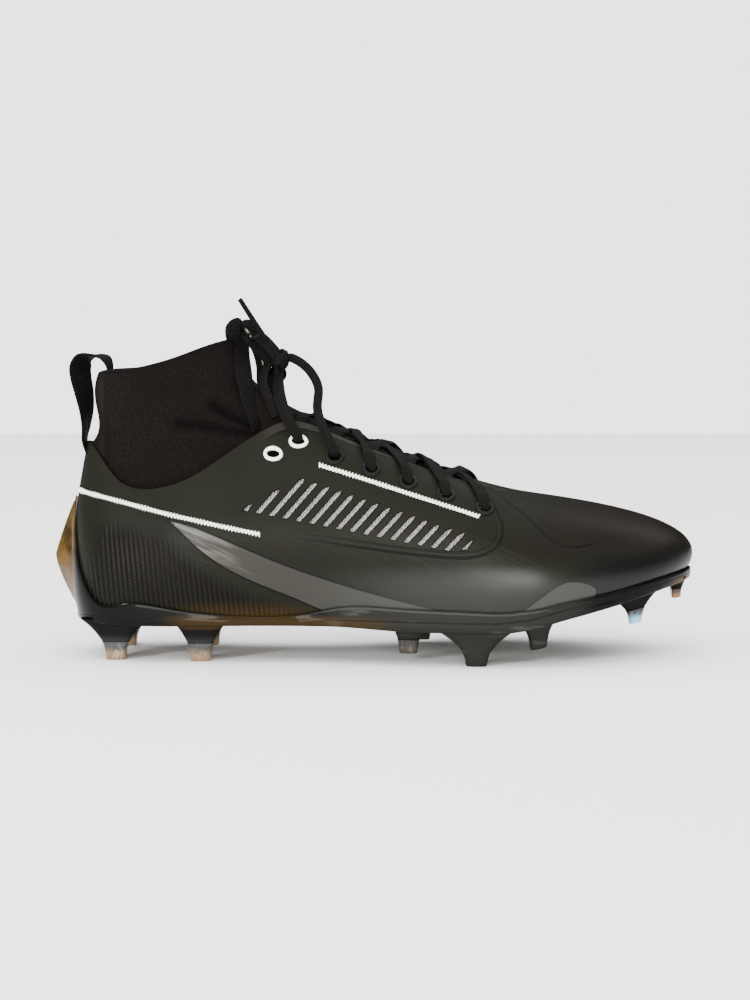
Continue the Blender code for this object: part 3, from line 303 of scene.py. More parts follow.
# Stage, in metres: floor to the sides and the front, and behind the shoe
FLOOR_HALF = 4.5
FLOOR_BACK = 2.0
# Strength of the surround as light and as backdrop
SURROUND_LIGHT = 0.12
SURROUND_SEEN = 3.0


# Sizes and colours that a user can change

class CleatSizes(bpy.types.PropertyGroup):
    """Sizes of the trim, in millimetres."""

    lace_width: bpy.props.FloatProperty(
        name="Lace width", description="Width of the flat lace, in millimetres", default=5.6,
        min=3.0, max=8.0)
    lace_thickness: bpy.props.FloatProperty(
        name="Lace thickness", description="Thickness of the lace, in millimetres", default=1.4,
        min=0.8, max=2.5)
    piping_width: bpy.props.FloatProperty(
        name="Piping width", description="Width of the white stitched lines, in millimetres",
        default=2.3, min=1.0, max=4.0)
    stitch_pitch: bpy.props.FloatProperty(
        name="Stitch pitch", description="Length of one zigzag stitch, in millimetres",
        default=1.6, min=0.8, max=4.0)
    rib_pitch: bpy.props.FloatProperty(
        name="Rib pitch", description="Distance between the ribs of the heel, in millimetres",
        default=2.3, min=1.5, max=6.0)
    knit_pitch: bpy.props.FloatProperty(
        name="Knit pitch", description="Size of one knit loop, in millimetres", default=1.15,
        min=0.6, max=3.0)


def colour_property(label, text, value):
    return bpy.props.FloatVectorProperty(
        name=label, description=text, subtype="COLOR", size=3, min=0.0, max=1.0, default=value)


class CleatColours(bpy.types.PropertyGroup):
    """Base colours of the finishes."""

    shell: colour_property("Shell", "Coated upper", (0.0062, 0.0063, 0.0043))
    toe: colour_property("Toe", "Warm tone over the toe", (0.0030, 0.0010, 0.0003))
    toe_foot: colour_property("Toe foot", "Cool tone low on the toe", (0.0030, 0.0032, 0.0038))
    panel: colour_property("Panel", "Grey panel low on the side", (0.021, 0.0205, 0.0175))
    knit: colour_property("Knit", "Collar and tongue", (0.0042, 0.0031, 0.0029))
    plate: colour_property("Plate", "Moulded plate", (0.0024, 0.0024, 0.0023))
    flank: colour_property("Flank", "Grey side of the plate", (0.0092, 0.0094, 0.0085))
    gold: colour_property("Gold", "Brown sheen of the plate", (0.026, 0.0145, 0.0036))
    white: colour_property("White", "Piping and top eyelets", (0.90, 0.89, 0.82))
    mesh: colour_property("Mesh", "Lining seen in the slots", (0.25, 0.245, 0.22))
    lace: colour_property("Lace", "Lace and webbing", (0.0028, 0.0025, 0.0020))
    heel_tip: colour_property("Heel tips", "Milky tan stud tips", (0.150, 0.098, 0.050))
    front_tip: colour_property("Front tips", "Smoky stud tips", (0.030, 0.024, 0.018))
    pale_tip: colour_property("Pale tips", "Pale blue stud tips", (0.17, 0.36, 0.46))
    amber_tip: colour_property("Amber tip", "Amber stud tip", (0.15, 0.075, 0.018))


# Curves and surfaces of the last, as in the frame's source

def smooth_path(points, per_span):
    """Points read off a smooth curve through the given ones."""
    p = np.array(points, float)
    ends = np.vstack([2 * p[0] - p[1], p, 2 * p[-1] - p[-2]])
    path = []
    for i in range(len(p) - 1):
        a, b, c, d = ends[i:i + 4]
        for k in range(per_span):
            t = k / per_span
            path.append(0.5 * (2 * b + (c - a) * t + (2 * a - 5 * b + 4 * c - d) * t * t
                               + (3 * b - a - 3 * c + d) * t**3))
    path.append(p[-1])
    return np.array(path)


def unit(vectors):
    return vectors / np.linalg.norm(vectors, axis=-1, keepdims=True)


def along(share):
    return HEEL_BACK + share * UPPER_LENGTH


def hermite(rows, x, column):
    """Smooth value of a column of a table whose first column rises, at x."""
    xs = [row[0] for row in rows]
    ys = [row[column] for row in rows]
    x = min(max(x, xs[0]), xs[-1])
    i = max(k for k in range(len(xs) - 1) if xs[k] <= x)
    slopes = [(ys[k + 1] - ys[k]) / (xs[k + 1] - xs[k]) for k in range(len(xs) - 1)]

    def tangent(k):
        if k == 0 or k == len(xs) - 1 or slopes[k - 1] * slopes[k] <= 0:
            return 0.0 if 0 < k < len(xs) - 1 else slopes[min(k, len(slopes) - 1)]
        return 2 * slopes[k - 1] * slopes[k] / (slopes[k - 1] + slopes[k])

    h = xs[i + 1] - xs[i]
    t = (x - xs[i]) / h
    return ((2 * t**3 - 3 * t**2 + 1) * ys[i] + (t**3 - 2 * t**2 + t) * h * tangent(i)
            + (3 * t**2 - 2 * t**3) * ys[i + 1] + (t**3 - t**2) * h * tangent(i + 1))


FINE_SHARES = np.linspace(UNDERSIDE[0][0], UNDERSIDE[-1][0], 900)
FINE_UNDERSIDE = np.array([hermite(UNDERSIDE, share, 1) * UNDERSIDE_HEIGHT
                           + hermite(UNDERSIDE, share, 2) * TOE_SPRING for share in FINE_SHARES])


def underside(x):
    return np.interp((np.asarray(x) - HEEL_BACK) / UPPER_LENGTH, FINE_SHARES, FINE_UNDERSIDE)


def footbed(x):
    return underside(x) + PLATE_THICKNESS


class Loop:
    """Closed smooth curve through evenly numbered points, with continuous curvature."""

    def __init__(self, points):
        self.points = np.array(points, float)
        count = len(points)
        system = 4.0 * np.eye(count) + np.roll(np.eye(count), 1, 1) + np.roll(np.eye(count), -1, 1)
        bend = np.roll(self.points, 1, 0) - 2.0 * self.points + np.roll(self.points, -1, 0)
        self.bends = np.linalg.solve(system, 6.0 * bend)

    def at(self, place):
        """The point at a place counted in rows, where 0 is the heel centre."""
        count = len(self.points)
        place = np.asarray(place, float) % count
        i = np.floor(place).astype(int) % count
        j = (i + 1) % count
        t = (place - i)[..., None]
        s = 1.0 - t
        return (s * self.points[i] + t * self.points[j]
                + ((s**3 - s) * self.bends[i] + (t**3 - t) * self.bends[j]) / 6.0)


LAST_ROW = len(FOOT_EDGE) - 1
ROWS_ROUND = 2 * LAST_ROW


def round_the_foot(make):
    """One value for each row down the outer side, then back up the inner side."""
    return ([make(i, -1) for i in range(LAST_ROW + 1)]
            + [make(i, 1) for i in range(LAST_ROW - 1, 0, -1)])


def edge_point(i, side):
    share, outer, inner = FOOT_EDGE[i][:3]
    x = along(share)
    return np.array([x, side * (outer if side < 0 else inner) * BALL_WIDTH, footbed(x) + MEET])


def opening_point(i, side):
    share, across, height = OPENING[i][:3]
    return np.array([along(share), side * across * BALL_WIDTH, height * INSTEP_HEIGHT])


EDGE_PLAN = Loop(round_the_foot(edge_point))
OPENING_LOOP = Loop(round_the_foot(opening_point))


def edge_at(place):
    point = EDGE_PLAN.at(place)
    point[..., 2] = footbed(point[..., 0]) + MEET
    return point


def edge_outward(place):
    """Level unit vector pointing out of the foot edge."""
    step = edge_at(place + 0.05) - edge_at(place - 0.05)
    out = np.stack([step[..., 1], -step[..., 0], np.zeros_like(step[..., 0])], -1)
    middle = edge_at(place) - np.array([along(0.5), 0.0, 0.0])
    inwards = out[..., 0] * middle[..., 0] * 0.2 + out[..., 1] * middle[..., 1] < 0
    return unit(np.where(inwards[..., None], -out, out))


def lower_handle(i, side):
    edge, mouth = edge_point(i, side), opening_point(i, side)
    lean, lift, carry = FOOT_EDGE[i][3:6]
    place = np.float64(i if side < 0 else ROWS_ROUND - i)
    handle = edge + edge_outward(place) * lean * BALL_WIDTH
    handle[:2] += carry * (mouth - edge)[:2]
    handle[2] += lift * INSTEP_HEIGHT
    return handle


def upper_handle(i, side):
    edge, mouth = edge_point(i, side), opening_point(i, side)
    bulge, drop, tail = OPENING[i][3:6]
    place = np.float64(i if side < 0 else ROWS_ROUND - i)
    handle = mouth + edge_outward(place) * bulge * BALL_WIDTH
    handle[:2] -= tail * (mouth - edge)[:2]
    handle[2] -= drop * INSTEP_HEIGHT
    return handle


class Skin:
    """A smooth wall round the foot over four loops of control points; level 0 is its foot."""

    def __init__(self, *loops):
        self.loops = loops

    def at(self, place, level):
        t = np.asarray(level, float)[..., None]
        s = 1.0 - t
        a, b, c, d = (loop(place) for loop in self.loops)
        return s**3 * a + 3 * s * s * t * b + 3 * s * t * t * c + t**3 * d

    def normal(self, place, level):
        step = 1e-3
        level = np.asarray(level, float)
        up = self.at(place, np.minimum(level + step, 1.0)) - self.at(
            place, np.maximum(level - step, 0.0))
        return unit(np.cross(self.at(place + step, level) - self.at(place - step, level), up))

    def raised(self, place, level, height):
        place, level = np.broadcast_arrays(np.asarray(place, float), np.asarray(level, float))
        lift = np.asarray(height, float)[..., None]
        return self.at(place, level) + self.normal(place, level) * lift

    def level_at(self, place, height):
        """The level at which the wall is this high above its foot."""
        place = np.asarray(place, float)
        target = self.at(place, np.zeros_like(place))[..., 2] + height
        low, high = np.zeros_like(target), np.ones_like(target)
        for _ in range(24):
            middle = (low + high) / 2
            under = self.at(place, middle)[..., 2] < target
            low, high = np.where(under, middle, low), np.where(under, high, middle)
        return (low + high) / 2


LOWER_LOOP = Loop(round_the_foot(lower_handle))
UPPER_LOOP = Loop(round_the_foot(upper_handle))
FLANK_LOOP = Loop(round_the_foot(lambda i, side: [FOOT_EDGE[i][6] * INSTEP_HEIGHT]))
SHELL = Skin(edge_at, LOWER_LOOP.at, UPPER_LOOP.at, OPENING_LOOP.at)


def collar_start(place):
    return SHELL.raised(place, 1.0, -(UPPER_WALL + KNIT_GAP))


def rim_point(i, side):
    share, across, height = COLLAR[i][:3]
    x = along(COLLAR_BACK) + share * COLLAR_LENGTH
    return np.array([x, side * across * COLLAR_WIDTH, height * COLLAR_HEIGHT])


def collar_rise(i, side):
    back, inward, up = COLLAR[i][3:6]
    place = i if side < 0 else ROWS_ROUND - i
    move = [-back * UPPER_LENGTH, -side * inward * BALL_WIDTH, up * INSTEP_HEIGHT]
    return collar_start(place) + np.array(move)


def collar_fall(i, side):
    front, down = COLLAR[i][6:8]
    return rim_point(i, side) + np.array([front * UPPER_LENGTH, 0.0, -down * INSTEP_HEIGHT])


RIM_LOOP = Loop(round_the_foot(rim_point))
RISE_LOOP = Loop(round_the_foot(collar_rise))
FALL_LOOP = Loop(round_the_foot(collar_fall))
KNIT = Skin(collar_start, RISE_LOOP.at, FALL_LOOP.at, RIM_LOOP.at)


def on_side(x, z, side, skin=SHELL):
    """Place and level of the point of a skin that shows at x, z from that side."""
    rows = np.arange(1.0, LAST_ROW)
    places = rows if side < 0 else ROWS_ROUND - rows
    grid_place, grid_level = np.meshgrid(places, np.linspace(0.06, 1.0, 16))
    goal = np.array([x, z])

    def miss(place, level):
        return skin.at(place, level)[..., [0, 2]] - goal

    best = np.argmin(np.linalg.norm(miss(grid_place, grid_level), axis=-1))
    place, level = grid_place.flat[best], grid_level.flat[best]
    for _ in range(12):
        at = miss(place, level)
        step = 1e-4
        by_place = (miss(place + step, level) - at) / step
        by_level = (miss(place, level + step) - at) / step
        move = np.linalg.solve(np.column_stack([by_place, by_level]), -at)
        place += np.clip(move[0], -0.5, 0.5)
        level = np.clip(level + np.clip(move[1], -0.1, 0.1), 0.0, 1.0)
    return place, level


def levels_on_line(places, line):
    """The level at each place where the shell meets a side view line that falls towards +X."""
    low, high = np.zeros_like(places), np.ones_like(places)
    for _ in range(26):
        middle = (low + high) / 2
        at = SHELL.at(places, middle)
        under = at[:, 2] < np.interp(at[:, 0], line[:, 0], line[:, 1])
        low, high = np.where(under, middle, low), np.where(under, high, middle)
    return (low + high) / 2


def run_along(path):
    """How far along a path each of its points is."""
    steps = np.linalg.norm(np.diff(path[:, :3], axis=0), axis=-1)
    return np.concatenate([[0.0], np.cumsum(steps)])


def respaced(path, spacing):
    """The path again with even steps of about that length."""
    run = run_along(path)
    stops = np.linspace(0.0, run[-1], max(int(run[-1] / spacing), 2) + 1)
    return np.stack([np.interp(stops, run, path[:, k]) for k in range(path.shape[1])], -1)


def side_distance(points, line):
    """Distance in side view from an open line, positive to the left of its run."""
    nearest = np.full(len(points), 1e9)
    signed = nearest
    for a, b in zip(line, line[1:]):
        run = b - a
        share = np.clip((points - a) @ run / (run @ run), 0.0, 1.0)
        away = points - a - share[:, None] * run
        gap = np.linalg.norm(away, axis=1)
        left = run[0] * away[:, 1] - run[1] * away[:, 0] >= 0
        signed = np.where(gap < nearest, np.where(left, gap, -gap), signed)
        nearest = np.minimum(nearest, gap)
    return signed


def line_distance(points, line):
    """Distance in side view from an open line."""
    return np.abs(side_distance(points, line))


def inside_distance(points, outline):
    """Distance in side view from the edge of an outline, positive inside it."""
    outline = np.array(outline)
    nearest = line_distance(points, np.vstack([outline, outline[:1]]))
    inside = np.zeros(len(points), bool)
    for a, b in zip(outline, np.roll(outline, -1, 0)):
        run = b - a
        crosses = (a[1] > points[:, 1]) != (b[1] > points[:, 1])
        with np.errstate(divide="ignore", invalid="ignore"):
            cut = a[0] + (points[:, 1] - a[1]) * run[0] / run[1]
        inside ^= crosses & (points[:, 0] < cut)
    return np.where(inside, nearest, -nearest)


# Meshes

def ring_faces(rings, count, closed_ends=True):
    """Faces of successive rings of points, with flat ends or closed into a hollow wall."""
    faces = []
    for k in range(rings - 1 if closed_ends else rings):
        a, b = k * count, ((k + 1) % rings) * count
        faces += [(a + i, a + (i + 1) % count, b + (i + 1) % count, b + i) for i in range(count)]
    if closed_ends:
        faces.append(tuple(range(count)))
        faces.append(tuple(range((rings - 1) * count, rings * count)))
    return faces


class Form:
    """Points, faces and per point values of a piece while it is put together."""

    def __init__(self):
        self.points = []
        self.faces = []
        self.values = {}

    def add(self, points, faces, **values):
        start = sum(len(block) for block in self.points)
        points = np.asarray(points, float).reshape(-1, 3)
        self.points.append(points)
        self.faces += [tuple(start + i for i in face) for face in faces]
        for name, value in values.items():
            self.values.setdefault(name, []).append((start, np.broadcast_to(value, len(points))))
        return self

    def add_rings(self, rings, closed_ends=True, **values):
        rings = np.asarray(rings, float)
        return self.add(rings, ring_faces(len(rings), rings.shape[1], closed_ends), **values)

    def mesh(self, name):
        """Mesh in metres with its faces turned outwards."""
        mesh = bpy.data.meshes.new(name)
        points = np.concatenate(self.points)
        mesh.from_pydata((points * MM).tolist(), [], self.faces)
        work = bmesh.new()
        work.from_mesh(mesh)
        bmesh.ops.recalc_face_normals(work, faces=work.faces)
        if work.calc_volume(signed=True) < 0:
            bmesh.ops.reverse_faces(work, faces=work.faces)
        work.to_mesh(mesh)
        work.free()
        for value_name, blocks in self.values.items():
            full = np.zeros(len(points))
            for start, block in blocks:
                full[start:start + len(block)] = block
            write_value(mesh, value_name, full)
        return mesh

    def piece(self, name, finish, slot, nodes=(), sharp=50):
        """The finished object, riding on the frame in place of its nodes."""
        return placed(name, self.mesh(name), finish, nodes, sharp)


def write_value(mesh, name, values):
    mesh.attributes.new(name, "FLOAT", "POINT").data.foreach_set("value", values.astype(np.float32))


def placed(name, mesh, finish, nodes=(), sharp=50):
    obj = bpy.data.objects.new(name, mesh)
    bpy.context.scene.collection.objects.link(obj)
    mesh.materials.clear()
    mesh.materials.append(finish)
    mesh.shade_smooth()
    mesh.set_sharp_from_angle(angle=math.radians(sharp))
    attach(obj, "root")
    if nodes:
        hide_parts(*nodes)
    return obj


def cut(mesh, cutters):
    """The mesh with closed cutter meshes taken out of it."""
    body = bpy.data.objects.new("body", mesh)
    work = bmesh.new()
    for cutter in cutters:
        work.from_mesh(cutter)
    joined = bpy.data.meshes.new("cutters")
    work.to_mesh(joined)
    work.free()
    tool = bpy.data.objects.new("tool", joined)
    for obj in (body, tool):
        bpy.context.scene.collection.objects.link(obj)
    modifier = body.modifiers.new("cut", "BOOLEAN")
    modifier.operation = "DIFFERENCE"
    modifier.solver = "EXACT"
    modifier.object = tool
    bpy.context.view_layer.update()
    graph = bpy.context.evaluated_depsgraph_get()
    result = bpy.data.meshes.new_from_object(body.evaluated_get(graph))
    bpy.data.objects.remove(tool)
    bpy.data.objects.remove(body)
    return result


def ribbon(form, path, across, width, thickness, sides=12, square=0.6):
    """Adds a flat band with rounded edges along a path; across is the way of its width."""
    path = np.asarray(path, float)
    tangent = unit(np.gradient(path, axis=0))
    across = np.broadcast_to(np.asarray(across, float), path.shape)
    wide = unit(across - tangent * np.sum(across * tangent, -1, keepdims=True))
    thick = np.cross(tangent, wide)
    angle = 2 * math.pi * (np.arange(sides) + 0.5) / sides
    flat = np.sign(np.cos(angle)) * np.abs(np.cos(angle)) ** square / 2
    deep = np.sign(np.sin(angle)) * np.abs(np.sin(angle)) ** square / 2
    width = np.broadcast_to(np.asarray(width, float), len(path))
    rings = (path[:, None] + wide[:, None] * (width[:, None] * flat)[..., None]
             + thick[:, None] * (thickness * deep)[:, None])
    run = np.repeat(run_along(path), sides)
    side = (width[:, None] * flat).ravel()
    form.add_rings(rings, run=run, side=side)


# Shader building

class Value:
    """A socket of a material's nodes, so that shader maths reads as Python."""

    def __init__(self, shade, socket):
        self.shade = shade
        self.socket = socket

    def math(self, operation, *others):
        inputs = dict(enumerate((self,) + others))
        return self.shade.node("Math", {"operation": operation}, inputs)

    def __add__(self, other):
        return self.math("ADD", other)

    __radd__ = __add__

    def __sub__(self, other):
        return self.math("SUBTRACT", other)

    def __rsub__(self, other):
        return (self * -1.0) + other

    def __mul__(self, other):
        return self.math("MULTIPLY", other)

    __rmul__ = __mul__

    def sin(self):
        return self.math("SINE")

    def abs(self):
        return self.math("ABSOLUTE")

    def power(self, other):
        return self.math("POWER", other)

    def max(self, other):
        return self.math("MAXIMUM", other)

    def step(self, low, high):
        """0 below low and 1 above high, with a soft rise between."""
        return self.shade.node("MapRange", {"interpolation_type": "SMOOTHSTEP"},
                               {0: self, 1: min(low, high), 2: max(low, high),
                                3: 0.0 if low < high else 1.0, 4: 1.0 if low < high else 0.0})

    def band(self, half, soft):
        """1 where the value is within half of 0, fading over soft."""
        return self.abs().step(half + soft, half)


class Shade:
    """One material: a Principled shader and the nodes that feed it."""

    def __init__(self, name, **settings):
        self.material = bpy.data.materials.new(name)
        self.material.use_nodes = True
        self.tree = self.material.node_tree
        self.shader = self.tree.nodes["Principled BSDF"]
        self.place = self.node("TexCoord", output="Object")
        parts = self.node("SeparateXYZ", {}, {0: self.place})
        outputs = parts.socket.node.outputs
        self.x, self.y, self.z = (Value(self, outputs[k]) * 1000.0 for k in range(3))
        self.feed(**settings)

    def node(self, kind, settings=None, inputs=None, output=0):
        made = self.tree.nodes.new("ShaderNode" + kind)
        for key, value in (settings or {}).items():
            setattr(made, key, value)
        for key, value in (inputs or {}).items():
            self.connect(made.inputs[key], value)
        return Value(self, made.outputs[output])

    def connect(self, socket, value):
        if isinstance(value, Value):
            self.tree.links.new(value.socket, socket)
        elif isinstance(value, tuple) and len(value) == 3 and socket.type == "RGBA":
            socket.default_value = (*value, 1.0)
        else:
            socket.default_value = value

    def feed(self, **sockets):
        for name, value in sockets.items():
            self.connect(self.shader.inputs[name.replace("_", " ")], value)

    def attribute(self, name):
        return self.node("Attribute", {"attribute_name": name}, output=2)

    def mix(self, mask, a, b):
        return self.node("Mix", {"data_type": "RGBA"}, {0: mask, 6: a, 7: b}, output=2)

    def noise(self, size, detail=2.0, stretch=(1.0, 1.0, 1.0)):
        """Noise from 0 to 1 with lumps of about that size in millimetres."""
        scaled = self.node("VectorMath", {"operation": "MULTIPLY"},
                           {0: self.place, 1: tuple(1000.0 / size * s for s in stretch)})
        return self.node("TexNoise", {}, {"Vector": scaled, "Scale": 1.0, "Detail": detail})

    def bump(self, height, depth, under=None):
        """Raises the surface by height times depth, in millimetres."""
        inputs = {"Height": height * (depth * MM), "Distance": 1.0}
        if under is not None:
            inputs["Normal"] = under
        return self.node("Bump", {}, inputs)


def colour(context, name):
    return tuple(getattr(context.scene.cleat_colours, name))


def shell_finish(context):
    """Coated upper: olive black, ribbed low at the heel with painted highlights on the rib crests,
    with a grey panel and embossed seams.
    """
    sizes = context.scene.cleat_sizes
    shade = Shade("coated shell", IOR=1.5, Specular_IOR_Level=0.04,
                  Coat_Roughness=0.24)
    x, z = shade.x, shade.z
    grain = shade.noise(0.8, 3.0)
    cloud = shade.noise(22.0, 3.0)
    slant = shade.node("CombineXYZ", {}, {0: (x * 0.90 - z * 0.43) * 0.045, 1: shade.y * 0.1,
                                          2: (x * 0.43 + z * 0.90) * 0.45})
    smear = shade.node("TexNoise", {}, {"Vector": slant, "Scale": 1.0, "Detail": 5.0})
    rear_panel = shade.attribute("panel").step(-0.1, 0.35)
    front_panel = shade.attribute("front_panel").step(-0.1, 0.35)
    grey = rear_panel.max(front_panel)
    fade = x.step(-40.0, 6.0)
    quarter = shade.attribute("quarter")
    seams = (quarter.band(0.1, 0.7) * fade).max((quarter + 2.6).band(0.1, 0.6) * fade * 0.5)
    seams = seams.max(shade.attribute("toe_cover").band(0.2, 0.9) * x.step(108.0, 96.0) * 0.8)
    lip = shade.attribute("lip")
    throat = x.step(-56.0, -42.0)
    binding = lip.step(5.2, 4.7) * throat
    binding_seam = (lip - 4.9).band(0.3, 0.5) * throat
    zone = shade.attribute("ribbed").step(0.3, 11.0)
    rib_place = x + z * 0.10
    rib = (rib_place * (2 * math.pi / sizes.rib_pitch)).sin() * 0.5 + 0.5
    beads = (z * (2 * math.pi / 1.7) + x * 1.3).sin() * 0.5 + 0.5
    ribs = rib.power(1.3) * (beads * 0.22 + 0.78) * zone
    warm = x.step(52.0, 128.0) * z.step(47.0, 62.0)
    cool = x.step(84.0, 112.0) * z.step(56.0, 44.0)
    gold = z.step(31.0, 19.0) * x.step(-102.0, -80.0) * x.step(0.0, -16.0)
    tone = shade.mix(warm, colour(context, "shell"), colour(context, "toe"))
    tone = shade.mix(cool, tone, colour(context, "toe_foot"))
    tone = shade.mix(zone * 0.9, tone, (0.0016, 0.0014, 0.0011))
    # Painted highlight: the rib crests are painted lighter than the valleys.
    tone = shade.mix(ribs * 0.50, tone, (0.0110, 0.0101, 0.0080))
    tone = shade.mix(gold * 0.62, tone, colour(context, "gold"))
    # Painted highlight: lighter rib crests in the brown band as well.
    tone = shade.mix(ribs * gold * 0.4, tone, (0.044, 0.026, 0.007))
    tone = shade.mix(grey, tone, colour(context, "panel"))
    scratched = smear.step(0.44, 0.66) * rear_panel * x.step(-50.0, -84.0)
    tone = shade.mix(scratched * 0.75, tone, (0.090, 0.088, 0.077))
    tone = shade.mix(binding * 0.8, tone, (0.0175, 0.0165, 0.0140))
    tone = shade.mix(binding_seam.max(seams) * 0.8, tone, (0.0020, 0.0020, 0.0018))
    edge = shade.attribute("panel").band(0.25, 0.35).max(
        shade.attribute("front_panel").band(0.25, 0.35))
    tone = shade.mix(edge * 0.8, tone, (0.0020, 0.0020, 0.0020))
    tone = shade.mix(cloud.step(0.42, 0.72) * (1.0 - grey) * 0.25, tone, (0.0040, 0.0036, 0.0030))
    slot_edge = shade.attribute("vent").step(0.9, 0.1)
    tone = shade.mix(slot_edge * 0.9, tone, (0.0012, 0.0012, 0.0012))
    top = z.step(58.0, 74.0)
    rough = cloud * 0.12 + grain * 0.06 + 0.28 + top * 0.24 - grey * 0.06 - ribs * 0.12
    relief = shade.bump(grain, 0.05)
    relief = shade.bump(smear, 0.16, relief)
    relief = shade.bump(ribs, 0.30, relief)
    relief = shade.bump(seams.max(binding_seam) * -1.0, 0.30, relief)
    relief = shade.bump(grey, 0.30, relief)
    satin = z.step(49.0, 37.0) * x.step(-40.0, 20.0) * 0.34 + grey * 0.08
    shade.feed(Base_Color=tone, Roughness=rough, Coat_Weight=satin, Normal=relief)
    return shade.material


def knit_finish(context):
    """Fine diagonal knit, with a smooth coated spine at the heel, a bound rim and painted shade in
    its creases.
    """
    sizes = context.scene.cleat_sizes
    shade = Shade("black knit", Specular_IOR_Level=0.05)
    x, y, z = shade.x, shade.y, shade.z
    turn = 2 * math.pi / sizes.knit_pitch
    round_ = x + y * 0.35
    one = ((round_ * 0.80 + z * 0.60) * turn).sin()
    two = ((round_ * 0.72 - z * 0.70) * turn).sin()
    loops = (one * two) * 0.5 + 0.5
    rows = ((round_ * 0.86 + z * 0.50) * (2 * math.pi / 4.2)).sin() * 0.5 + 0.5
    fuzz = shade.noise(0.7, 2.0)
    cloud = shade.noise(20.0, 2.0)
    smooth = shade.attribute("spine").step(0.0, 1.6)
    rim = shade.attribute("rim").step(1.7, 1.3)
    knitted = (1.0 - smooth) * (1.0 - rim)
    tone = shade.mix(loops * knitted, (0.0022, 0.0016, 0.0015), colour(context, "knit"))
    speck = loops.step(0.72, 1.0) * fuzz.step(0.45, 0.62) * knitted
    tone = shade.mix(speck * 0.55, tone, (0.034, 0.026, 0.022))
    tone = shade.mix(smooth, tone, (0.0065, 0.0058, 0.0048))
    # Painted shade: the knit is painted darker along its creases.
    tone = shade.mix(shade.attribute("crease") * 0.8, tone, (0.0008, 0.0007, 0.0007))
    tone = shade.mix(cloud.step(0.45, 0.7) * 0.35, tone, (0.0030, 0.0022, 0.0020))
    relief = shade.bump(fuzz, 0.10)
    relief = shade.bump(rows * knitted, 0.12, relief)
    relief = shade.bump(loops * knitted, 0.36, relief)
    shade.feed(Base_Color=tone, Roughness=0.88 - smooth * 0.30, Normal=relief)
    return shade.material


def plate_finish(context):
    """Moulded plate: gloss black heel and toe, grey flank with painted highlight streaks, brown sheen
    under the arch.
    """
    shade = Shade("moulded plate", IOR=1.5, Specular_IOR_Level=0.03, Coat_Weight=0.06,
                  Coat_Roughness=0.05)
    x, y, z = shade.x, shade.y, shade.z
    cloud = shade.noise(14.0, 3.0)
    fine = shade.noise(0.5, 2.0)
    outer = y.step(-14.0, -22.0).max(y.step(14.0, 22.0))
    near = y.step(-10.0, -14.0)
    rise = z - underside_line(shade)
    grey = x.step(-30.0, -10.0) * x.step(104.0, 88.0) * outer
    arch = x.step(-104.0, -84.0) * x.step(16.0, -10.0) * rise.step(7.5, 5.0)
    arch = arch * rise.step(-1.2, -0.5) * 0.75
    keel = x.step(-140.0, -144.5) * (cloud.step(0.30, 0.62) * 0.8 + 0.2)
    heel = x.step(-84.0, -96.0) * z.step(18.2, 17.4) * (1.0 - near)
    toe = x.step(132.0, 144.0) * rise.step(3.6, 2.0) * rise.step(-1.2, -0.5)
    gold = arch.max(keel).max(heel).max(toe)
    tone = shade.mix(grey, colour(context, "plate"), colour(context, "flank"))
    tone = shade.mix(gold * 0.9, tone, colour(context, "gold"))
    tone = shade.mix(keel * 0.8, tone, (0.085, 0.048, 0.014))
    # Painted highlight: fine light streaks running along the grey flank.
    painted_streaks = shade.noise(6.0, 2.0, (0.25, 1.0, 2.0)).step(0.58, 0.70)
    tone = shade.mix(painted_streaks * grey * 0.30, tone, (0.060, 0.058, 0.052))
    milky = x.step(-60.0, -76.0) * z.step(13.0, 6.5) * near
    tone = shade.mix(milky * 0.7, tone, (0.030, 0.032, 0.034))
    line = (rise - 4.8).band(0.16, 0.25) * outer
    tone = shade.mix(line * grey * 0.7, tone, (0.004, 0.004, 0.004))
    relief = shade.bump(fine, 0.015)
    relief = shade.bump(shade.noise(9.0, 2.0), 0.25, relief)
    relief = shade.bump(line * -1.0, 0.3, relief)
    rough = cloud * 0.12 + 0.22 + grey * 0.14
    shade.feed(Base_Color=tone, Roughness=rough, Normal=relief)
    return shade.material


def underside_line(shade):
    """Height of the plate's underside at x, as straight runs from one table row to the next."""
    height = None
    rows = [(along(row[0]), float(underside(along(row[0])))) for row in UNDERSIDE[3:]]
    for (x0, z0), (x1, z1) in zip(rows, rows[1:]):
        rise = shade.node("MapRange", {"clamp": True}, {0: shade.x, 1: x0, 2: x1, 3: 0.0, 4: z1 - z0})
        height = rise + z0 if height is None else height + rise
    return height


def tip_finish(name, tone, dark):
    """Milky moulded stud tip that darkens towards its root, with worn, scuffed faces."""
    shade = Shade(name, IOR=1.48, Specular_IOR_Level=0.4, Subsurface_Weight=0.3,
                  Subsurface_Scale=0.003, Subsurface_Radius=(1.0, 0.8, 0.6), Coat_Weight=0.3,
                  Coat_Roughness=0.08)
    cloud = shade.noise(3.2, 3.0)
    scuff = shade.noise(1.6, 2.0, (1.0, 1.0, 0.35)).step(0.55, 0.70)
    light = tuple(min(c * 1.6 + 0.04, 1.0) for c in tone)
    share = shade.attribute("share") + (cloud - 0.5) * 0.7
    body = shade.mix(share.step(0.22, 0.80), tone, dark)
    body = shade.mix(scuff * share.step(0.9, 0.3) * 0.6, body, light)
    relief = shade.bump(cloud, 0.45)
    shade.feed(Base_Color=body, Roughness=scuff * 0.3 + 0.16, Normal=relief)
    return shade.material


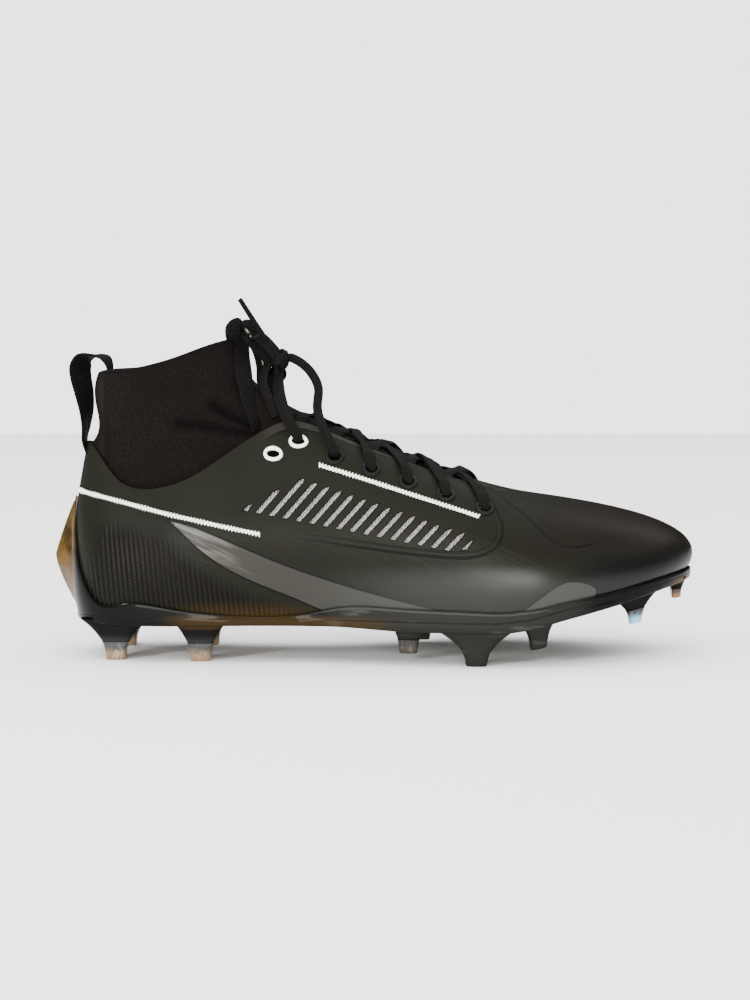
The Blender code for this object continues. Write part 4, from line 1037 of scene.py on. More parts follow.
def cloth_finish(name, tone, pitch, depth, glints=None):
    """Woven lace or webbing: cross ribs along the run, with pale dashes of painted glint highlight
    beyond the run glints.
    """
    shade = Shade(name, Specular_IOR_Level=0.07)
    run, side = shade.attribute("run"), shade.attribute("side")
    fuzz = shade.noise(0.6, 2.0)
    rib = ((run + side.abs() * 0.5) * (2 * math.pi / pitch)).sin() * 0.5 + 0.5
    warp = (side * (2 * math.pi / 0.9)).sin() * 0.5 + 0.5
    weave = rib * (warp * 0.35 + 0.65)
    light = tuple(c * 3.0 + 0.006 for c in tone)
    body = shade.mix(weave, tuple(c * 0.3 for c in tone), tone)
    body = shade.mix(weave.step(0.70, 1.0) * fuzz.step(0.4, 0.65) * 0.6, body, light)
    if glints is not None:
        # Painted highlight: pale dashes along the strap paint glints of light on it.
        glint_dashes = (side + 1.0).band(0.40, 0.3) * run.step(glints, glints + 3.0)
        glint_dashes = glint_dashes * shade.noise(2.6, 2.0).step(0.46, 0.56)
        body = shade.mix(glint_dashes, body, (0.26, 0.25, 0.23))
    relief = shade.bump(fuzz, 0.08)
    relief = shade.bump(weave, depth, relief)
    shade.feed(Base_Color=body, Roughness=0.78, Normal=relief)
    return shade.material


def mesh_finish(context):
    """Open light mesh lining with dark holes."""
    shade = Shade("vent lining", Specular_IOR_Level=0.3)
    x, z = shade.x, shade.z
    turn = 2 * math.pi / 1.7
    weave = (((x + z * 0.55) * turn).sin() * ((z - x * 0.45) * turn).sin()) * 0.5 + 0.5
    fuzz = shade.noise(0.8, 2.0)
    tone = shade.mix(weave.step(0.28, 0.52), (0.012, 0.012, 0.010), colour(context, "mesh"))
    tone = shade.mix(fuzz.step(0.5, 0.62) * 0.5, tone, (0.48, 0.47, 0.42))
    relief = shade.bump(weave, 0.3)
    shade.feed(Base_Color=tone, Roughness=0.75, Normal=relief)
    return shade.material


def plain_finish(name, tone, roughness, grain=0.8, depth=0.04, spread=0.25, **constant):
    """One moulded or printed colour with a fine grain and soft variation."""
    shade = Shade(name, **constant)
    cloud = shade.noise(5.0, 3.0)
    fine = shade.noise(grain, 2.0)
    body = shade.mix(cloud, tuple(c * (1 - spread) for c in tone), tone)
    relief = shade.bump(fine, depth)
    shade.feed(Base_Color=body, Roughness=fine * 0.12 + roughness - 0.06, Normal=relief)
    return shade.material


def foam_finish():
    """Cloth faced sockliner."""
    shade = Shade("sockliner cloth", Specular_IOR_Level=0.3, Sheen_Weight=0.2)
    turn = 2 * math.pi / 1.4
    weave = ((shade.x * turn).sin() * (shade.y * turn).sin()) * 0.5 + 0.5
    tone = shade.mix(weave, (0.004, 0.004, 0.004), (0.014, 0.014, 0.014))
    relief = shade.bump(weave, 0.2)
    shade.feed(Base_Color=tone, Roughness=0.85, Normal=relief)
    return shade.material


# Upper

STATIONS_A_ROW = 16
PLACES = np.arange(ROWS_ROUND * STATIONS_A_ROW) / STATIONS_A_ROW


def throat_share(place):
    row = np.minimum(place % ROWS_ROUND, ROWS_ROUND - place % ROWS_ROUND)
    return np.clip(row - 5.5, 0.0, 1.0)


def vent_slots():
    """Foot and head of each slanted slot, side view."""
    slots = []
    for k in range(VENT_COUNT):
        share = k / (VENT_COUNT - 1)
        ends = [[a + (b - a) * share for a, b in zip(first, last)]
                for first, last in zip(VENT_FIRST, VENT_LAST)]
        slots.append([np.array([along(s), h * INSTEP_HEIGHT]) for s, h in ends])
    slots[0][1] = slots[0][0] + (slots[0][1] - slots[0][0]) * VENT_FIRST_LENGTH
    return slots


def vent_outlines():
    """Outline of each slot, pointed at its head, and a wedge beyond each end of the row."""
    outlines = []
    slots = vent_slots()
    row = unit(slots[-1][0] - slots[0][0])
    for foot, head in slots:
        run = unit(head - foot)
        half = row * VENT_SLOT_WIDTH / 2
        outlines.append([foot - half, foot + half, head + half - run * 1.8,
                         head + half * 0.6 + run * 0.3, head - half * 0.2, head - half - run * 1.6])
    foot, head = slots[0]
    run, pitch = unit(head - foot), slots[1][0] - slots[0][0]
    foot = foot - pitch
    outlines.append([foot - row * 0.9, foot + row * 1.4, foot + run * 4.4 + row * 0.9,
                     foot + run * 3.4])
    foot = slots[-1][0] + pitch + run * 1.6
    outlines.append([foot - row * 0.7, foot + row * 1.3 + run * 0.9, foot + run * 6.4 + row * 0.9,
                     foot + run * 5.2 + row * 0.1])
    return outlines


def vent_cutter(outline, side):
    rings = [[(p[0], side * share * BALL_WIDTH, p[1]) for p in outline] for share in VENT_REACH]
    return Form().add_rings(rings).mesh("slot")


def eyelet_frame(index, side):
    """Place and level of an eyelet, its centre, outward axis and the way along the throat."""
    share, height = EYELETS[index]
    place, level = on_side(along(share), height * INSTEP_HEIGHT, side)
    centre, normal = SHELL.at(place, level), SHELL.normal(place, level)
    forward = SHELL.at(place + 0.05, level) - SHELL.at(place - 0.05, level)
    forward = unit(forward - normal * (forward @ normal))
    return place, level, centre, normal, forward


def eyelet_drill(index, side):
    centre, normal, forward = eyelet_frame(index, side)[2:]
    across = np.cross(normal, forward)
    angles = 2 * math.pi * np.arange(20) / 20
    ring = EYELET_DRILL * (np.cos(angles)[:, None] * forward + np.sin(angles)[:, None] * across)
    rings = [centre + normal * h + ring for h in (-2.5 * UPPER_WALL, 2.5 * UPPER_WALL)]
    return Form().add_rings(rings).mesh("drill")


def opening_distance(points):
    """Distance of each point from the shell's opening."""
    rim = SHELL.raised(PLACES, 1.0, -BINDING_STEP)
    nearest = np.full(len(points), 1e9)
    for chunk in np.array_split(np.arange(len(rim)), 16):
        gap = np.linalg.norm(points[:, None] - rim[chunk][None], axis=-1).min(1)
        nearest = np.minimum(nearest, gap)
    return nearest


def make_shell(context):
    """Coated shell with its slots and lace holes cut, and distances for its finish."""
    levels = np.concatenate([np.linspace(0.0, 0.90, 72), np.linspace(0.90, 1.0, 20)[1:]])
    inner_levels = np.linspace(0.0, 1.0, 22)
    rings = []
    for level in levels:
        share = np.clip((level - BINDING_LEVEL) / BINDING_STEP_RUN, 0.0, 1.0)
        roll = LIP_ROLL if level == levels[-1] else 0.0
        rings.append(SHELL.raised(PLACES, level, -BINDING_STEP * share * throat_share(PLACES)
                                  - roll))
    for level in inner_levels[::-1]:
        rings.append(SHELL.raised(PLACES, level, -UPPER_WALL))
    mesh = Form().add_rings(rings, closed_ends=False).mesh("shell")
    for side in (-1, 1):
        cutters = [vent_cutter(outline, side) for outline in vent_outlines()]
        cutters += [eyelet_drill(i, side) for i in range(len(EYELETS))]
        mesh = cut(mesh, cutters)
    points = np.empty(len(mesh.vertices) * 3)
    mesh.vertices.foreach_get("co", points)
    points = points.reshape(-1, 3) / MM
    view = points[:, [0, 2]]
    panel = np.vstack([smooth_path(PANEL_TOP, 6), PANEL_BELOW, smooth_path(PANEL_FOOT, 6)[:-1]])
    front_panel = np.vstack([smooth_path(FRONT_PANEL, 6), FRONT_PANEL_BELOW])
    for name, outline in (("panel", panel), ("front_panel", front_panel),
                          ("ribbed", RIBBED_HEEL)):
        write_value(mesh, name, inside_distance(view, outline))
    write_value(mesh, "quarter", side_distance(view, smooth_path(QUARTER_SEAM, 6)))
    write_value(mesh, "toe_cover", side_distance(view, smooth_path(TOE_SEAM, 6)))
    vents = np.max([inside_distance(view, outline) for outline in vent_outlines()], axis=0)
    write_value(mesh, "vent", -vents)
    write_value(mesh, "lip", opening_distance(points))
    placed("coated_shell", mesh, shell_finish(context), ["upper"], 40)


def make_vent_lining(context):
    """Thin lining behind the slots; its top stays below the lace holes."""
    finish = mesh_finish(context)
    for word, side in (("outer", -1), ("inner", 1)):
        slots = vent_slots()
        corners = [on_side(*slots[k][end], side) for k in (0, 1, -1) for end in (0, 1)]
        corner_places = [corner[0] for corner in corners]
        corner_levels = [corner[1] for corner in corners]
        places = np.linspace(min(corner_places) - VENT_LINING_PLACES_BEYOND,
                             max(corner_places) + VENT_LINING_PLACES_BEYOND, 60)
        levels = np.linspace(min(corner_levels) - VENT_LINING_LEVELS_BELOW,
                             max(corner_levels) + VENT_LINING_LEVELS_ABOVE, 24)
        rings = []
        for level in levels:
            front, back = (SHELL.raised(places, level, -depth) for depth in VENT_LINING_DEPTHS)
            rings.append(np.concatenate([front, back[::-1]]))
        Form().add_rings(rings).piece("vent_lining_" + word, finish, "vent_mesh",
                                      ["vent_mesh_" + word])


def make_collar(context):
    """Knit collar and tongue, with creases where the ankle bends and a rounded rim."""
    depth = UPPER_WALL + KNIT_GAP
    levels = np.linspace(0.0, 1.0, 56)
    rim_line = KNIT.at(PLACES, np.ones(len(PLACES)))
    rings, crease_values, rim_values, spine_values = [], [], [], []

    def note(ring, crease, rim):
        rings.append(ring)
        crease_values.append(np.broadcast_to(crease, len(ring)))
        rim_values.append(np.broadcast_to(rim, len(ring)))
        spine_values.append(SPINE_FRONT - ring[:, 0])

    for level in (0.78, 0.84, 0.90, 0.95, 1.0):
        note(SHELL.raised(PLACES, level, -depth), 0.0, 99.0)
    for level in levels[1:]:
        base = KNIT.at(PLACES, np.full(len(PLACES), level))
        away = np.min([line_distance(base[:, [0, 2]], smooth_path(line, 6))
                       for line in COLLAR_CREASES], axis=0)
        crease = np.exp(-(away / CREASE_WIDTH) ** 2)
        puff = np.exp(-((away - PUFF_FROM_CREASE) / PUFF_WIDTH) ** 2)
        wave = KNIT_WAVE * np.sin(base[:, 2] * 0.19 + base[:, 0] * 0.07)
        fade = np.sin(math.pi * min(level, 0.5 + level / 2)) ** 0.5 if level < 1.0 else 0.0
        lift = (puff * PUFF_HEIGHT + wave - crease * CREASE_DEPTH) * fade
        note(KNIT.raised(PLACES, level, lift), crease, np.linalg.norm(base - rim_line, axis=1))
    note(KNIT.raised(PLACES, 1.0, -0.5 * KNIT_WALL) + np.array([0, 0, RIM_ROUND]), 0.0, 0.0)
    for level in (1.0, 0.8, 0.6, 0.4, 0.2):
        note(KNIT.raised(PLACES, level, -KNIT_WALL), 0.0, (1.0 - level) * 55.0)
    for level in (1.0, 0.90, 0.78):
        note(SHELL.raised(PLACES, level, -depth - KNIT_WALL), 0.0, 99.0)
    # The crease values drive the painted shade along the creases in the knit finish.
    form = Form().add_rings(rings, closed_ends=False, crease=np.concatenate(crease_values),
                            rim=np.concatenate(rim_values), spine=np.concatenate(spine_values))
    form.piece("knit_collar_skin", knit_finish(context), "knit", ["knit_collar"], 60)


# Plate and studs

def lattice(form_points, form_faces, ring, height_of, across):
    """Fills a ring that starts at the heel centre with rows of faces from side to side."""
    count = len(ring)
    half = count // 2
    rows = [[ring[0]]]
    for i in range(1, half):
        left, right = form_points[ring[i]], form_points[ring[count - i]]
        row = [ring[i]]
        for k in range(1, across):
            p = left + (right - left) * k / across
            form_points.append(np.array([p[0], p[1], height_of(p[0])]))
            row.append(len(form_points) - 1)
        row.append(ring[count - i])
        rows.append(row)
    rows.append([ring[half]])
    for a, b in zip(rows, rows[1:]):
        for k in range(across):
            if len(a) == 1:
                form_faces.append((a[0], b[k], b[k + 1]))
            elif len(b) == 1:
                form_faces.append((a[k], a[k + 1], b[0]))
            else:
                form_faces.append((a[k], a[k + 1], b[k + 1], b[k]))


def plate_body(form):
    """Floor, rounded edge and thin flank that laps up the shell."""
    places = np.arange(ROWS_ROUND * 10) / 10
    edge, out = edge_at(places), edge_outward(places)
    bottom, top = underside(edge[:, 0]), footbed(edge[:, 0])
    flank = np.maximum(FLANK_LOOP.at(places)[:, 0], 1.2)

    def flat(reach, height):
        return np.stack([edge[:, 0] + out[:, 0] * reach, edge[:, 1] + out[:, 1] * reach,
                         height], -1)

    reach = FLANK_GAP + FLANK_FOOT
    rings = [flat(-2.0, bottom), flat(reach - 1.3, bottom), flat(reach - 0.45, bottom + 0.35),
             flat(reach, bottom + 1.1), flat(reach, top)]
    shares = np.linspace(0.125, 1.0, 8)
    for share in shares:
        level = SHELL.level_at(places, flank * share)
        wall = FLANK_FOOT + (FLANK_LIP - FLANK_FOOT) * share
        rings.append(SHELL.raised(places, level, FLANK_GAP + wall - (0.25 if share == 1 else 0)))
    for share in shares[::-1]:
        level = SHELL.level_at(places, flank * share)
        rings.append(SHELL.raised(places, level, FLANK_GAP))
    rings += [flat(FLANK_GAP, top), flat(-4.0, top)]
    points = [p for ring in rings for p in ring]
    count = len(places)
    faces = ring_faces(len(rings), count)[:-2]
    lattice(points, faces, list(range(count)), underside, 10)
    start = (len(rings) - 1) * count
    lattice(points, faces, list(range(start, start + count)), footbed, 4)
    form.add(points, faces)


def edge_across(x, side):
    """How far out the foot edge is at x."""
    rows = np.linspace(0.3, LAST_ROW - 0.3, 400)
    points = edge_at(rows if side < 0 else ROWS_ROUND - rows)
    return float(np.interp(x, points[:, 0], points[:, 1]))


def stud_rings(stud, start, end, steps, sides=32):
    """Rings of a flared stud from a share of its height to another; 0 is the tip."""
    side, share, inset, tip_long, tip_deep, root_long, root_deep, lift = stud[1:9]
    x = along(share)
    outer_face = edge_across(x, side) - side * inset * BALL_WIDTH
    slope = (underside(x + 4.0) - underside(x - 4.0)) / 8.0
    angle = 2 * math.pi * (np.arange(sides) + 0.5) / sides
    c, s = np.cos(angle), np.sin(angle)
    rings = []
    shares = [start, start + 0.04] + list(np.linspace(start + 0.12, end, steps))
    for k, q in enumerate(shares):
        bevel = 0.45 if k == 0 else 0.12 if k == 1 else 0.0
        long_ = tip_long + (root_long - tip_long) * q**STUD_FLARE - 2 * bevel
        deep = tip_deep + (root_deep - tip_deep) * q - 2 * bevel
        inward = STUD_LEAN * (1.0 - q) + deep / 2 + bevel
        px = x + np.sign(c) * np.abs(c) ** STUD_ROUNDING * long_ / 2
        py = outer_face - side * inward + np.sign(s) * np.abs(s) ** STUD_ROUNDING * deep / 2
        tip = lift * UNDERSIDE_HEIGHT + (slope * (px - x) if lift > 0.05 else 0.0 * px)
        root = underside(px) + PLATE_THICKNESS * 0.5
        rings.append(np.stack([px, py, tip + (root - tip) * q], -1))
    return rings


def keel(form):
    """Upright keel down the back of the heel."""
    foot = edge_at(np.float64(0.0))[2]
    top = RIDGE_TOP * INSTEP_HEIGHT - foot
    sections = []
    rows = np.array(RIDGE)
    for share in np.linspace(0.0, 1.0, 13):
        depth = np.interp(share, rows[:, 0], rows[:, 1])
        width = np.interp(share, rows[:, 0], rows[:, 2])
        height = 1.0 + (top - 1.0) * share
        places = RIDGE_SPREAD * width * np.array([1.0, 0.5, 0.0, -0.5, -1.0])
        level = SHELL.level_at(places, height)
        section = SHELL.raised(places, level, RIDGE_GAP)
        section[:, 2] = foot + height
        peak = section[2][0] - max(RIDGE_DEPTH * depth, 1.0)
        edge = [[peak, y, section[2][2]] for y in (RIDGE_EDGE / 2, -RIDGE_EDGE / 2)]
        sections.append(np.vstack([section, edge]))
    form.add_rings(sections)


def make_plate(context):
    form = Form()
    plate_body(form)
    keel(form)
    for stud in STUDS:
        form.add_rings(stud_rings(stud, STUD_TIP_SPLIT if stud[9] else 0.0, 1.0, 12))
    form.piece("plate_and_stud_roots", plate_finish(context), "plate", ["outsole_plate"], 38)


def make_stud_tips(context):
    roots = {"heel": (0.020, 0.020, 0.020), "front": (0.0092, 0.0088, 0.0078),
             "pale": (0.003, 0.004, 0.005), "amber": (0.020, 0.008, 0.002)}
    finishes = {look: tip_finish(look + " stud tip", colour(context, look + "_tip"), root)
                for look, root in roots.items()}
    for stud in STUDS:
        if stud[9]:
            rings = stud_rings(stud, 0.0, STUD_TIP_SPLIT - 0.01, 7)
            share = np.repeat(np.linspace(0.0, 1.0, len(rings)), len(rings[0]))
            Form().add_rings(rings, share=share).piece(
                "tip_" + stud[0], finishes[stud[9]], stud[9] + "_stud_tip",
                ["stud_tip_" + stud[0]], 45)


# Eyelets and piping

def skin_ring(index, side, long_, wide, height, count):
    """Oval ring on the shell's curved face round an eyelet, raised by height."""
    place, level = eyelet_frame(index, side)[:2]
    step = 1e-3
    by_place = (SHELL.at(place + step, level) - SHELL.at(place - step, level)) / (2 * step)
    by_level = (SHELL.at(place, level + step) - SHELL.at(place, level - step)) / (2 * step)
    forward = np.array([1.0, 0.0, -0.12]) if index < WHITE_EYELETS else by_place
    normal = unit(np.cross(by_place, by_level))
    forward = unit(forward - normal * (forward @ normal))
    across = np.cross(normal, forward)
    angles = 2 * math.pi * np.arange(count) / count
    goal = (long_ * np.cos(angles)[:, None] * forward
            + wide * np.sin(angles)[:, None] * across)
    move = goal @ np.linalg.pinv(np.column_stack([by_place, by_level])).T
    return SHELL.raised(place + move[:, 0], np.minimum(level + move[:, 1], 1.0), height)


def make_eyelet_shade_discs():
    """Dark discs behind the lace holes, where a lining sits, made near black as painted shade seen
    through the holes.
    """
    form = Form()
    for side in (-1, 1):
        for index in range(len(EYELETS)):
            form.add_rings([skin_ring(index, side, *HOLE_SHADE_SIZE, -UPPER_WALL - depth, 24)
                            for depth in HOLE_SHADE_DEPTHS])
    # Painted shade: a near black sheet seen through the holes.
    finish = plain_finish("hole lining", (0.0015, 0.0014, 0.0013), 0.9, Specular_IOR_Level=0.02)
    form.piece("eyelet_backing", finish, "knit")


def make_eyelets(context):
    white = plain_finish("white print", colour(context, "white"), 0.45, spread=0.12)
    dark = plain_finish("dark print", (0.0040, 0.0037, 0.0031), 0.45,
                        Specular_IOR_Level=0.08)
    for word, side in (("outer", -1), ("inner", 1)):
        for index in range(len(EYELETS)):
            pale = index < WHITE_EYELETS
            outer, bore = WHITE_RING if pale else DARK_RING
            profile = [(outer, 0.0, 0.05), (outer, 0.12, 0.55), (outer, 0.45, 0.85),
                       (bore, -0.55, 0.85), (bore, -0.1, 0.5), (bore, 0.0, -0.8)]
            rings = [skin_ring(index, side, size[0] - inset, size[1] - inset, height, 36)
                     for size, inset, height in profile]
            name = f"eyelet_{word}_{index + 1}"
            Form().add_rings(rings, closed_ends=False).piece(
                name + "_ring", white if pale else dark,
                "white_eyelet" if pale else "dark_eyelet", [name], 50)


def piping(form, first, last, line, sizes):
    """Flat braid held by zigzag stitches, on the shell between two places along a line."""
    line = smooth_path(line, 8)
    place = np.linspace(first, last, 600)
    level = levels_on_line(place, line)
    run = run_along(SHELL.at(place, level))
    marks = np.linspace(0.0, run[-1], int(run[-1] / (sizes.stitch_pitch / 2)) + 1)
    place, level = np.interp(marks, run, place), np.interp(marks, run, level)
    bed = SHELL.raised(place, level, 0.15)
    normal = SHELL.normal(place, level)
    across = np.cross(unit(np.gradient(bed, axis=0)), normal)
    ribbon(form, bed, across, sizes.piping_width * 0.52, 0.6, 10, 0.7)
    swing = np.where(np.arange(len(bed)) % 2, 0.5, -0.5)[:, None] * sizes.piping_width
    thread = SHELL.raised(place, level, 0.5) + across * swing
    thread = respaced(np.hstack([thread, normal]), 0.6)
    ribbon(form, thread[:, :3], thread[:, 3:], 0.5, 0.62, 6, 1.0)


def make_piping(context):
    sizes = context.scene.cleat_sizes
    form = Form()
    heel_outer = on_side(*HEEL_PIPING[-1], -1)[0]
    heel_inner = on_side(*HEEL_PIPING[-1], 1)[0] - ROWS_ROUND
    piping(form, heel_inner, heel_outer, HEEL_PIPING, sizes)
    for side in (-1, 1):
        ends = [on_side(*EYESTAY_PIPING[k], side)[0] for k in (0, -1)]
        piping(form, *ends, EYESTAY_PIPING, sizes)
    finish = plain_finish("white thread", colour(context, "white"), 0.6, 0.5, 0.08, 0.2)
    form.piece("stitched_piping", finish, "white_eyelet")


# Laces and webbing

def search_trees(names):
    """Search trees over nodes of the frame, in millimetres."""
    trees = []
    for name in names:
        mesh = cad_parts[name].data
        points = [vertex.co / MM for vertex in mesh.vertices]
        trees.append(BVHTree.FromPolygons(points, [tuple(f.vertices) for f in mesh.polygons]))
    return trees


def top_at(trees, x, y):
    """Height of the highest surface at x, y."""
    hits = [tree.ray_cast(Vector((x, y, 400.0)), Vector((0, 0, -1)))[0] for tree in trees]
    return max([hit.z for hit in hits if hit is not None], default=0.0)


def taut_path(start, end, trees, clearance, across, width, count):
    """Lace pulled tight from start to end over whatever lies beneath it."""
    level_run = (end - start) * np.array([1.0, 1.0, 0.0])
    length = np.linalg.norm(level_run)
    run = level_run / length
    hull = []
    for k in range(TAUT_STEPS + 1):
        s = length * k / TAUT_STEPS
        heights = []
        for share in (-0.5, -0.25, 0.0, 0.25, 0.5):
            spot = start + run * s + across * width * share
            heights.append(top_at(trees, spot[0], spot[1]) - across[2] * width * share)
        point = (s, max(heights))
        while len(hull) > 1 and turns_up(hull[-2], hull[-1], point):
            hull.pop()
        hull.append(point)
    s = np.linspace(0.0, length, count + 1)
    height = np.interp(s, [h[0] for h in hull], [h[1] for h in hull])
    slope = np.gradient(height, s)
    path = start + run * s[:, None]
    path[:, 2] = height + clearance * np.sqrt(1.0 + slope**2)
    return path


def turns_up(a, b, c):
    return (b[0] - a[0]) * (c[1] - a[1]) >= (b[1] - a[1]) * (c[0] - a[0])


def throat_place(x, side):
    """Place round the foot at which the shell's opening is at x."""
    rows = np.linspace(7.0, 12.9, 300)
    xs = OPENING_LOOP.at(rows if side < 0 else ROWS_ROUND - rows)[:, 0]
    row = float(np.interp(x, xs, rows))
    return row if side < 0 else ROWS_ROUND - row


def lace_strand(form, index, side, trees, sizes, lift):
    """Strand out of an eyelet, over the throat and under the far edge at the next eyelet up."""
    centre, normal = eyelet_frame(index, side)[2:4]
    start = centre + normal * 1.2
    far_place = throat_place(along(EYELETS[index - 1][0]), -side)
    far = OPENING_LOOP.at(far_place)
    inward = -math.copysign(LACE_EDGE_DISTANCE + sizes.lace_width / 2, far[1])
    end = np.array([far[0] + 1.5, far[1] + inward, 0.0])
    sides = [OPENING_LOOP.at(throat_place(start[0] + d, s)) for s in (-1, 1) for d in (6.0, -6.0)]
    across = unit(sides[0] - sides[1] + sides[2] - sides[3])
    reach = LACE_GAP + sizes.lace_thickness / 2
    path = taut_path(start, end, trees, reach, across, sizes.lace_width, 16)
    share = np.linspace(0.0, 1.0, len(path))
    path[:, 2] += lift * np.exp(-((share - 0.5) / 0.17) ** 2)
    path[:, 2] += 0.45 * np.sin(share * 17.0 + index * 2.1 + side) * np.sin(math.pi * share)
    tuck = [SHELL.raised(far_place, level, -LACE_TUCK_DEPTH) for level in (0.985, 0.95)]
    path = np.vstack([centre - normal * 1.6, centre + normal * 0.7, path[1:], tuck])
    path = respaced(smooth_path(path, 4), 0.9)
    share = np.linspace(0.0, 1.0, len(path))
    width = sizes.lace_width * (1.0 - 0.32 * np.exp(-(share / 0.07) ** 2)
                                - 0.10 * np.exp(-((share - 0.5) / 0.10) ** 2))
    twist = 0.22 * np.sin(share * 13.0 + index * 1.7 + side)
    wide = across + np.cross(unit(np.gradient(path, axis=0)), across) * twist[:, None]
    ribbon(form, path, wide, width, sizes.lace_thickness)


def make_lace_crossings(context):
    sizes = context.scene.cleat_sizes
    finish = cloth_finish("flat lace", colour(context, "lace"), 1.1, 0.22)
    rings = [f"eyelet_{word}_{k + 1}" for word in ("outer", "inner") for k in range(len(EYELETS))]
    trees = search_trees(["upper", "knit_collar"] + rings)
    for index in range(len(EYELETS) - 1, WHITE_EYELETS, -1):
        form = Form()
        outer_over = bool(index % 2)
        lace_strand(form, index, -1, trees, sizes, STRAND_OVER if outer_over else STRAND_UNDER)
        lace_strand(form, index, 1, trees, sizes, STRAND_UNDER if outer_over else STRAND_OVER)
        number = len(EYELETS) - index
        form.piece(f"lace_cross_{number}", finish, "lace", [f"lace_crossing_{number}"])
    form = Form()
    lace_strand(form, WHITE_EYELETS, 1, trees, sizes, TOP_STRAND_LIFT)
    number = len(EYELETS) - WHITE_EYELETS
    form.piece(f"lace_cross_{number}", finish, "lace", [f"lace_crossing_{number}"])


def cord_piece(name, points, width, thickness, wide, finish, nodes):
    """Free flat lace along the given points."""
    path = respaced(smooth_path(points, 8), 0.8)
    share = np.linspace(0.0, 1.0, len(path))
    band = np.interp(share, np.linspace(0.0, 1.0, len(width)), width)
    across = np.stack([np.interp(share, np.linspace(0.0, 1.0, len(wide)), [w[k] for w in wide])
                       for k in range(3)], -1)
    form = Form()
    ribbon(form, path, across, band, thickness)
    obj = form.piece(name, finish, "lace", nodes)
    max(width) * MM


def make_knot(finish):
    """Knot of flat lace: a three lobed closed turn and a wrap round it."""
    t = np.linspace(0.0, 2 * math.pi, 90)
    lobes = np.stack([(np.sin(t) + 2 * np.sin(2 * t)) * 1.25, -np.sin(3 * t) * 2.5,
                      (np.cos(t) - 2 * np.cos(2 * t)) * 2.5 - 1.5], -1) + np.array(KNOT_CENTRE)
    form = Form()
    outward = unit(lobes - np.array(KNOT_CENTRE))
    tangent = unit(np.gradient(lobes, axis=0))
    ribbon(form, lobes, np.cross(tangent, outward), 4.6, 1.7)
    wrap = np.stack([3.4 * np.cos(t), 4.2 * np.sin(t), 1.2 * np.sin(t + 0.6) + 1.0],
                    -1) + np.array(KNOT_CENTRE)
    ribbon(form, wrap, (0.0, 0.15, 1.0), 5.0, 1.6)
    ear = respaced(smooth_path(KNOT_EAR, 8), 0.8)
    ribbon(form, ear, (0.75, 0.5, 0.4), 6.4, 1.3)
    return form.piece("lace_knot_turns", finish, "lace", ["lace_knot"])


def lace_exit(index, side):
    """Point just out of an eyelet, where free lace starts."""
    centre, normal = eyelet_frame(index, side)[2:4]
    return centre + normal * LACE_EXIT_HEIGHT


def make_free_lace(context):
    sizes = context.scene.cleat_sizes
    finish = cloth_finish("free lace", colour(context, "lace"), 1.1, 0.22)
    knot = make_knot(finish)
    thick = sizes.lace_thickness
    flat_on = [(1.0, 0.0, 0.1), (1.0, 0.0, 0.1), (1.0, 0.0, 0.3), (0.8, 0.0, 0.8), (0.2, 0.2, 1.0)]
    cord_piece("lace_arc", [lace_exit(2, -1)] + LACE_ARC + [KNOT_CENTRE] + LACE_END_UP,
               (4.4, 4.4, 4.4, 4.4, 4.4, 3.6, 3.0, 2.6), thick * 0.9,
               flat_on + [(0.3, 0.5, 0.6), (0.5, 0.6, 0.3), (0.6, 0.7, 0.3)], finish,
               ["lace_arc_outer", "lace_end_up"])
    cord_piece("lace_rise", [lace_exit(1, -1)] + LACE_RISE_OUTER + [KNOT_CENTRE] + LACE_END_DOWN,
               (4.4, 5.8, 6.0, 5.8, 5.0, 5.0, 5.0, 4.4), thick,
               [(1.0, 0.2, 0.2), (1.0, 0.3, 0.1), (1.0, -0.2, 0.2), (0.9, -0.3, 0.4),
                (1.0, -0.3, 0.1)], finish, ["lace_rise_outer", "lace_end_down"])
    cord_piece("lace_rise_far", [lace_exit(1, 1)] + LACE_RISE_INNER + [KNOT_CENTRE],
               (4.2, 5.2, 5.2, 4.6), thick, [(1.0, 0.0, 0.0), (1.0, 0.2, 0.3), (1.0, 0.2, 0.2)],
               finish, ["lace_rise_inner"])


def webbing(name, node, path, across, width, finish):
    form = Form()
    ribbon(form, path, across, width, WEBBING_THICKNESS, 16, 0.4)
    form.piece(name, finish, "webbing", [node])


def turned(degrees):
    """Level unit vectors across a strap that is turned towards the outer side."""
    turn = np.radians(degrees)
    return np.stack([np.sin(turn), np.cos(turn), np.zeros_like(turn)], -1)


def make_webbing(context):
    finish = cloth_finish("ribbed webbing", colour(context, "lace"), 1.5, 0.32)
    foot = edge_at(np.float64(0.0))[2]
    level = SHELL.level_at(0.0, HEEL_LOOP_HEIGHT * INSTEP_HEIGHT - foot)
    sewn = SHELL.raised(0.0, level, HEEL_LOOP_STANDOFF)
    rows = smooth_path(HEEL_LOOP, 8)
    path = np.stack([sewn[0] + rows[:, 0], np.full(len(rows), sewn[1]), sewn[2] + rows[:, 1]], -1)
    webbing("heel_loop", "heel_pull_loop", path, turned(rows[:, 2]), HEEL_LOOP_WIDTH, finish)
    rear = []
    for x, z, standoff in FRONT_LOOP_REAR:
        place, level = on_side(x, z, -1, KNIT)
        rear.append(KNIT.raised(place, level, standoff))
    path = smooth_path(rear + FRONT_LOOP_TOP, 8)
    near_top = np.exp(-((path[:, 2] - FRONT_LOOP_TOP_HEIGHT) / FRONT_LOOP_TOP_REACH) ** 2)
    across = turned(FRONT_LOOP_TURN + FRONT_LOOP_TOP_TURN * near_top)
    # The front loop gets pale dashes of painted glint highlight.
    stitched = cloth_finish("stitched webbing", colour(context, "lace"), 1.5, 0.32,
                            FRONT_LOOP_GLINTS_FROM)
    webbing("front_loop", "front_pull_loop", path, across, FRONT_LOOP_WIDTH, stitched)


def make_insole():
    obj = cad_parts["insole"]
    obj.data.materials.clear()
    obj.data.materials.append(foam_finish())


# Stage

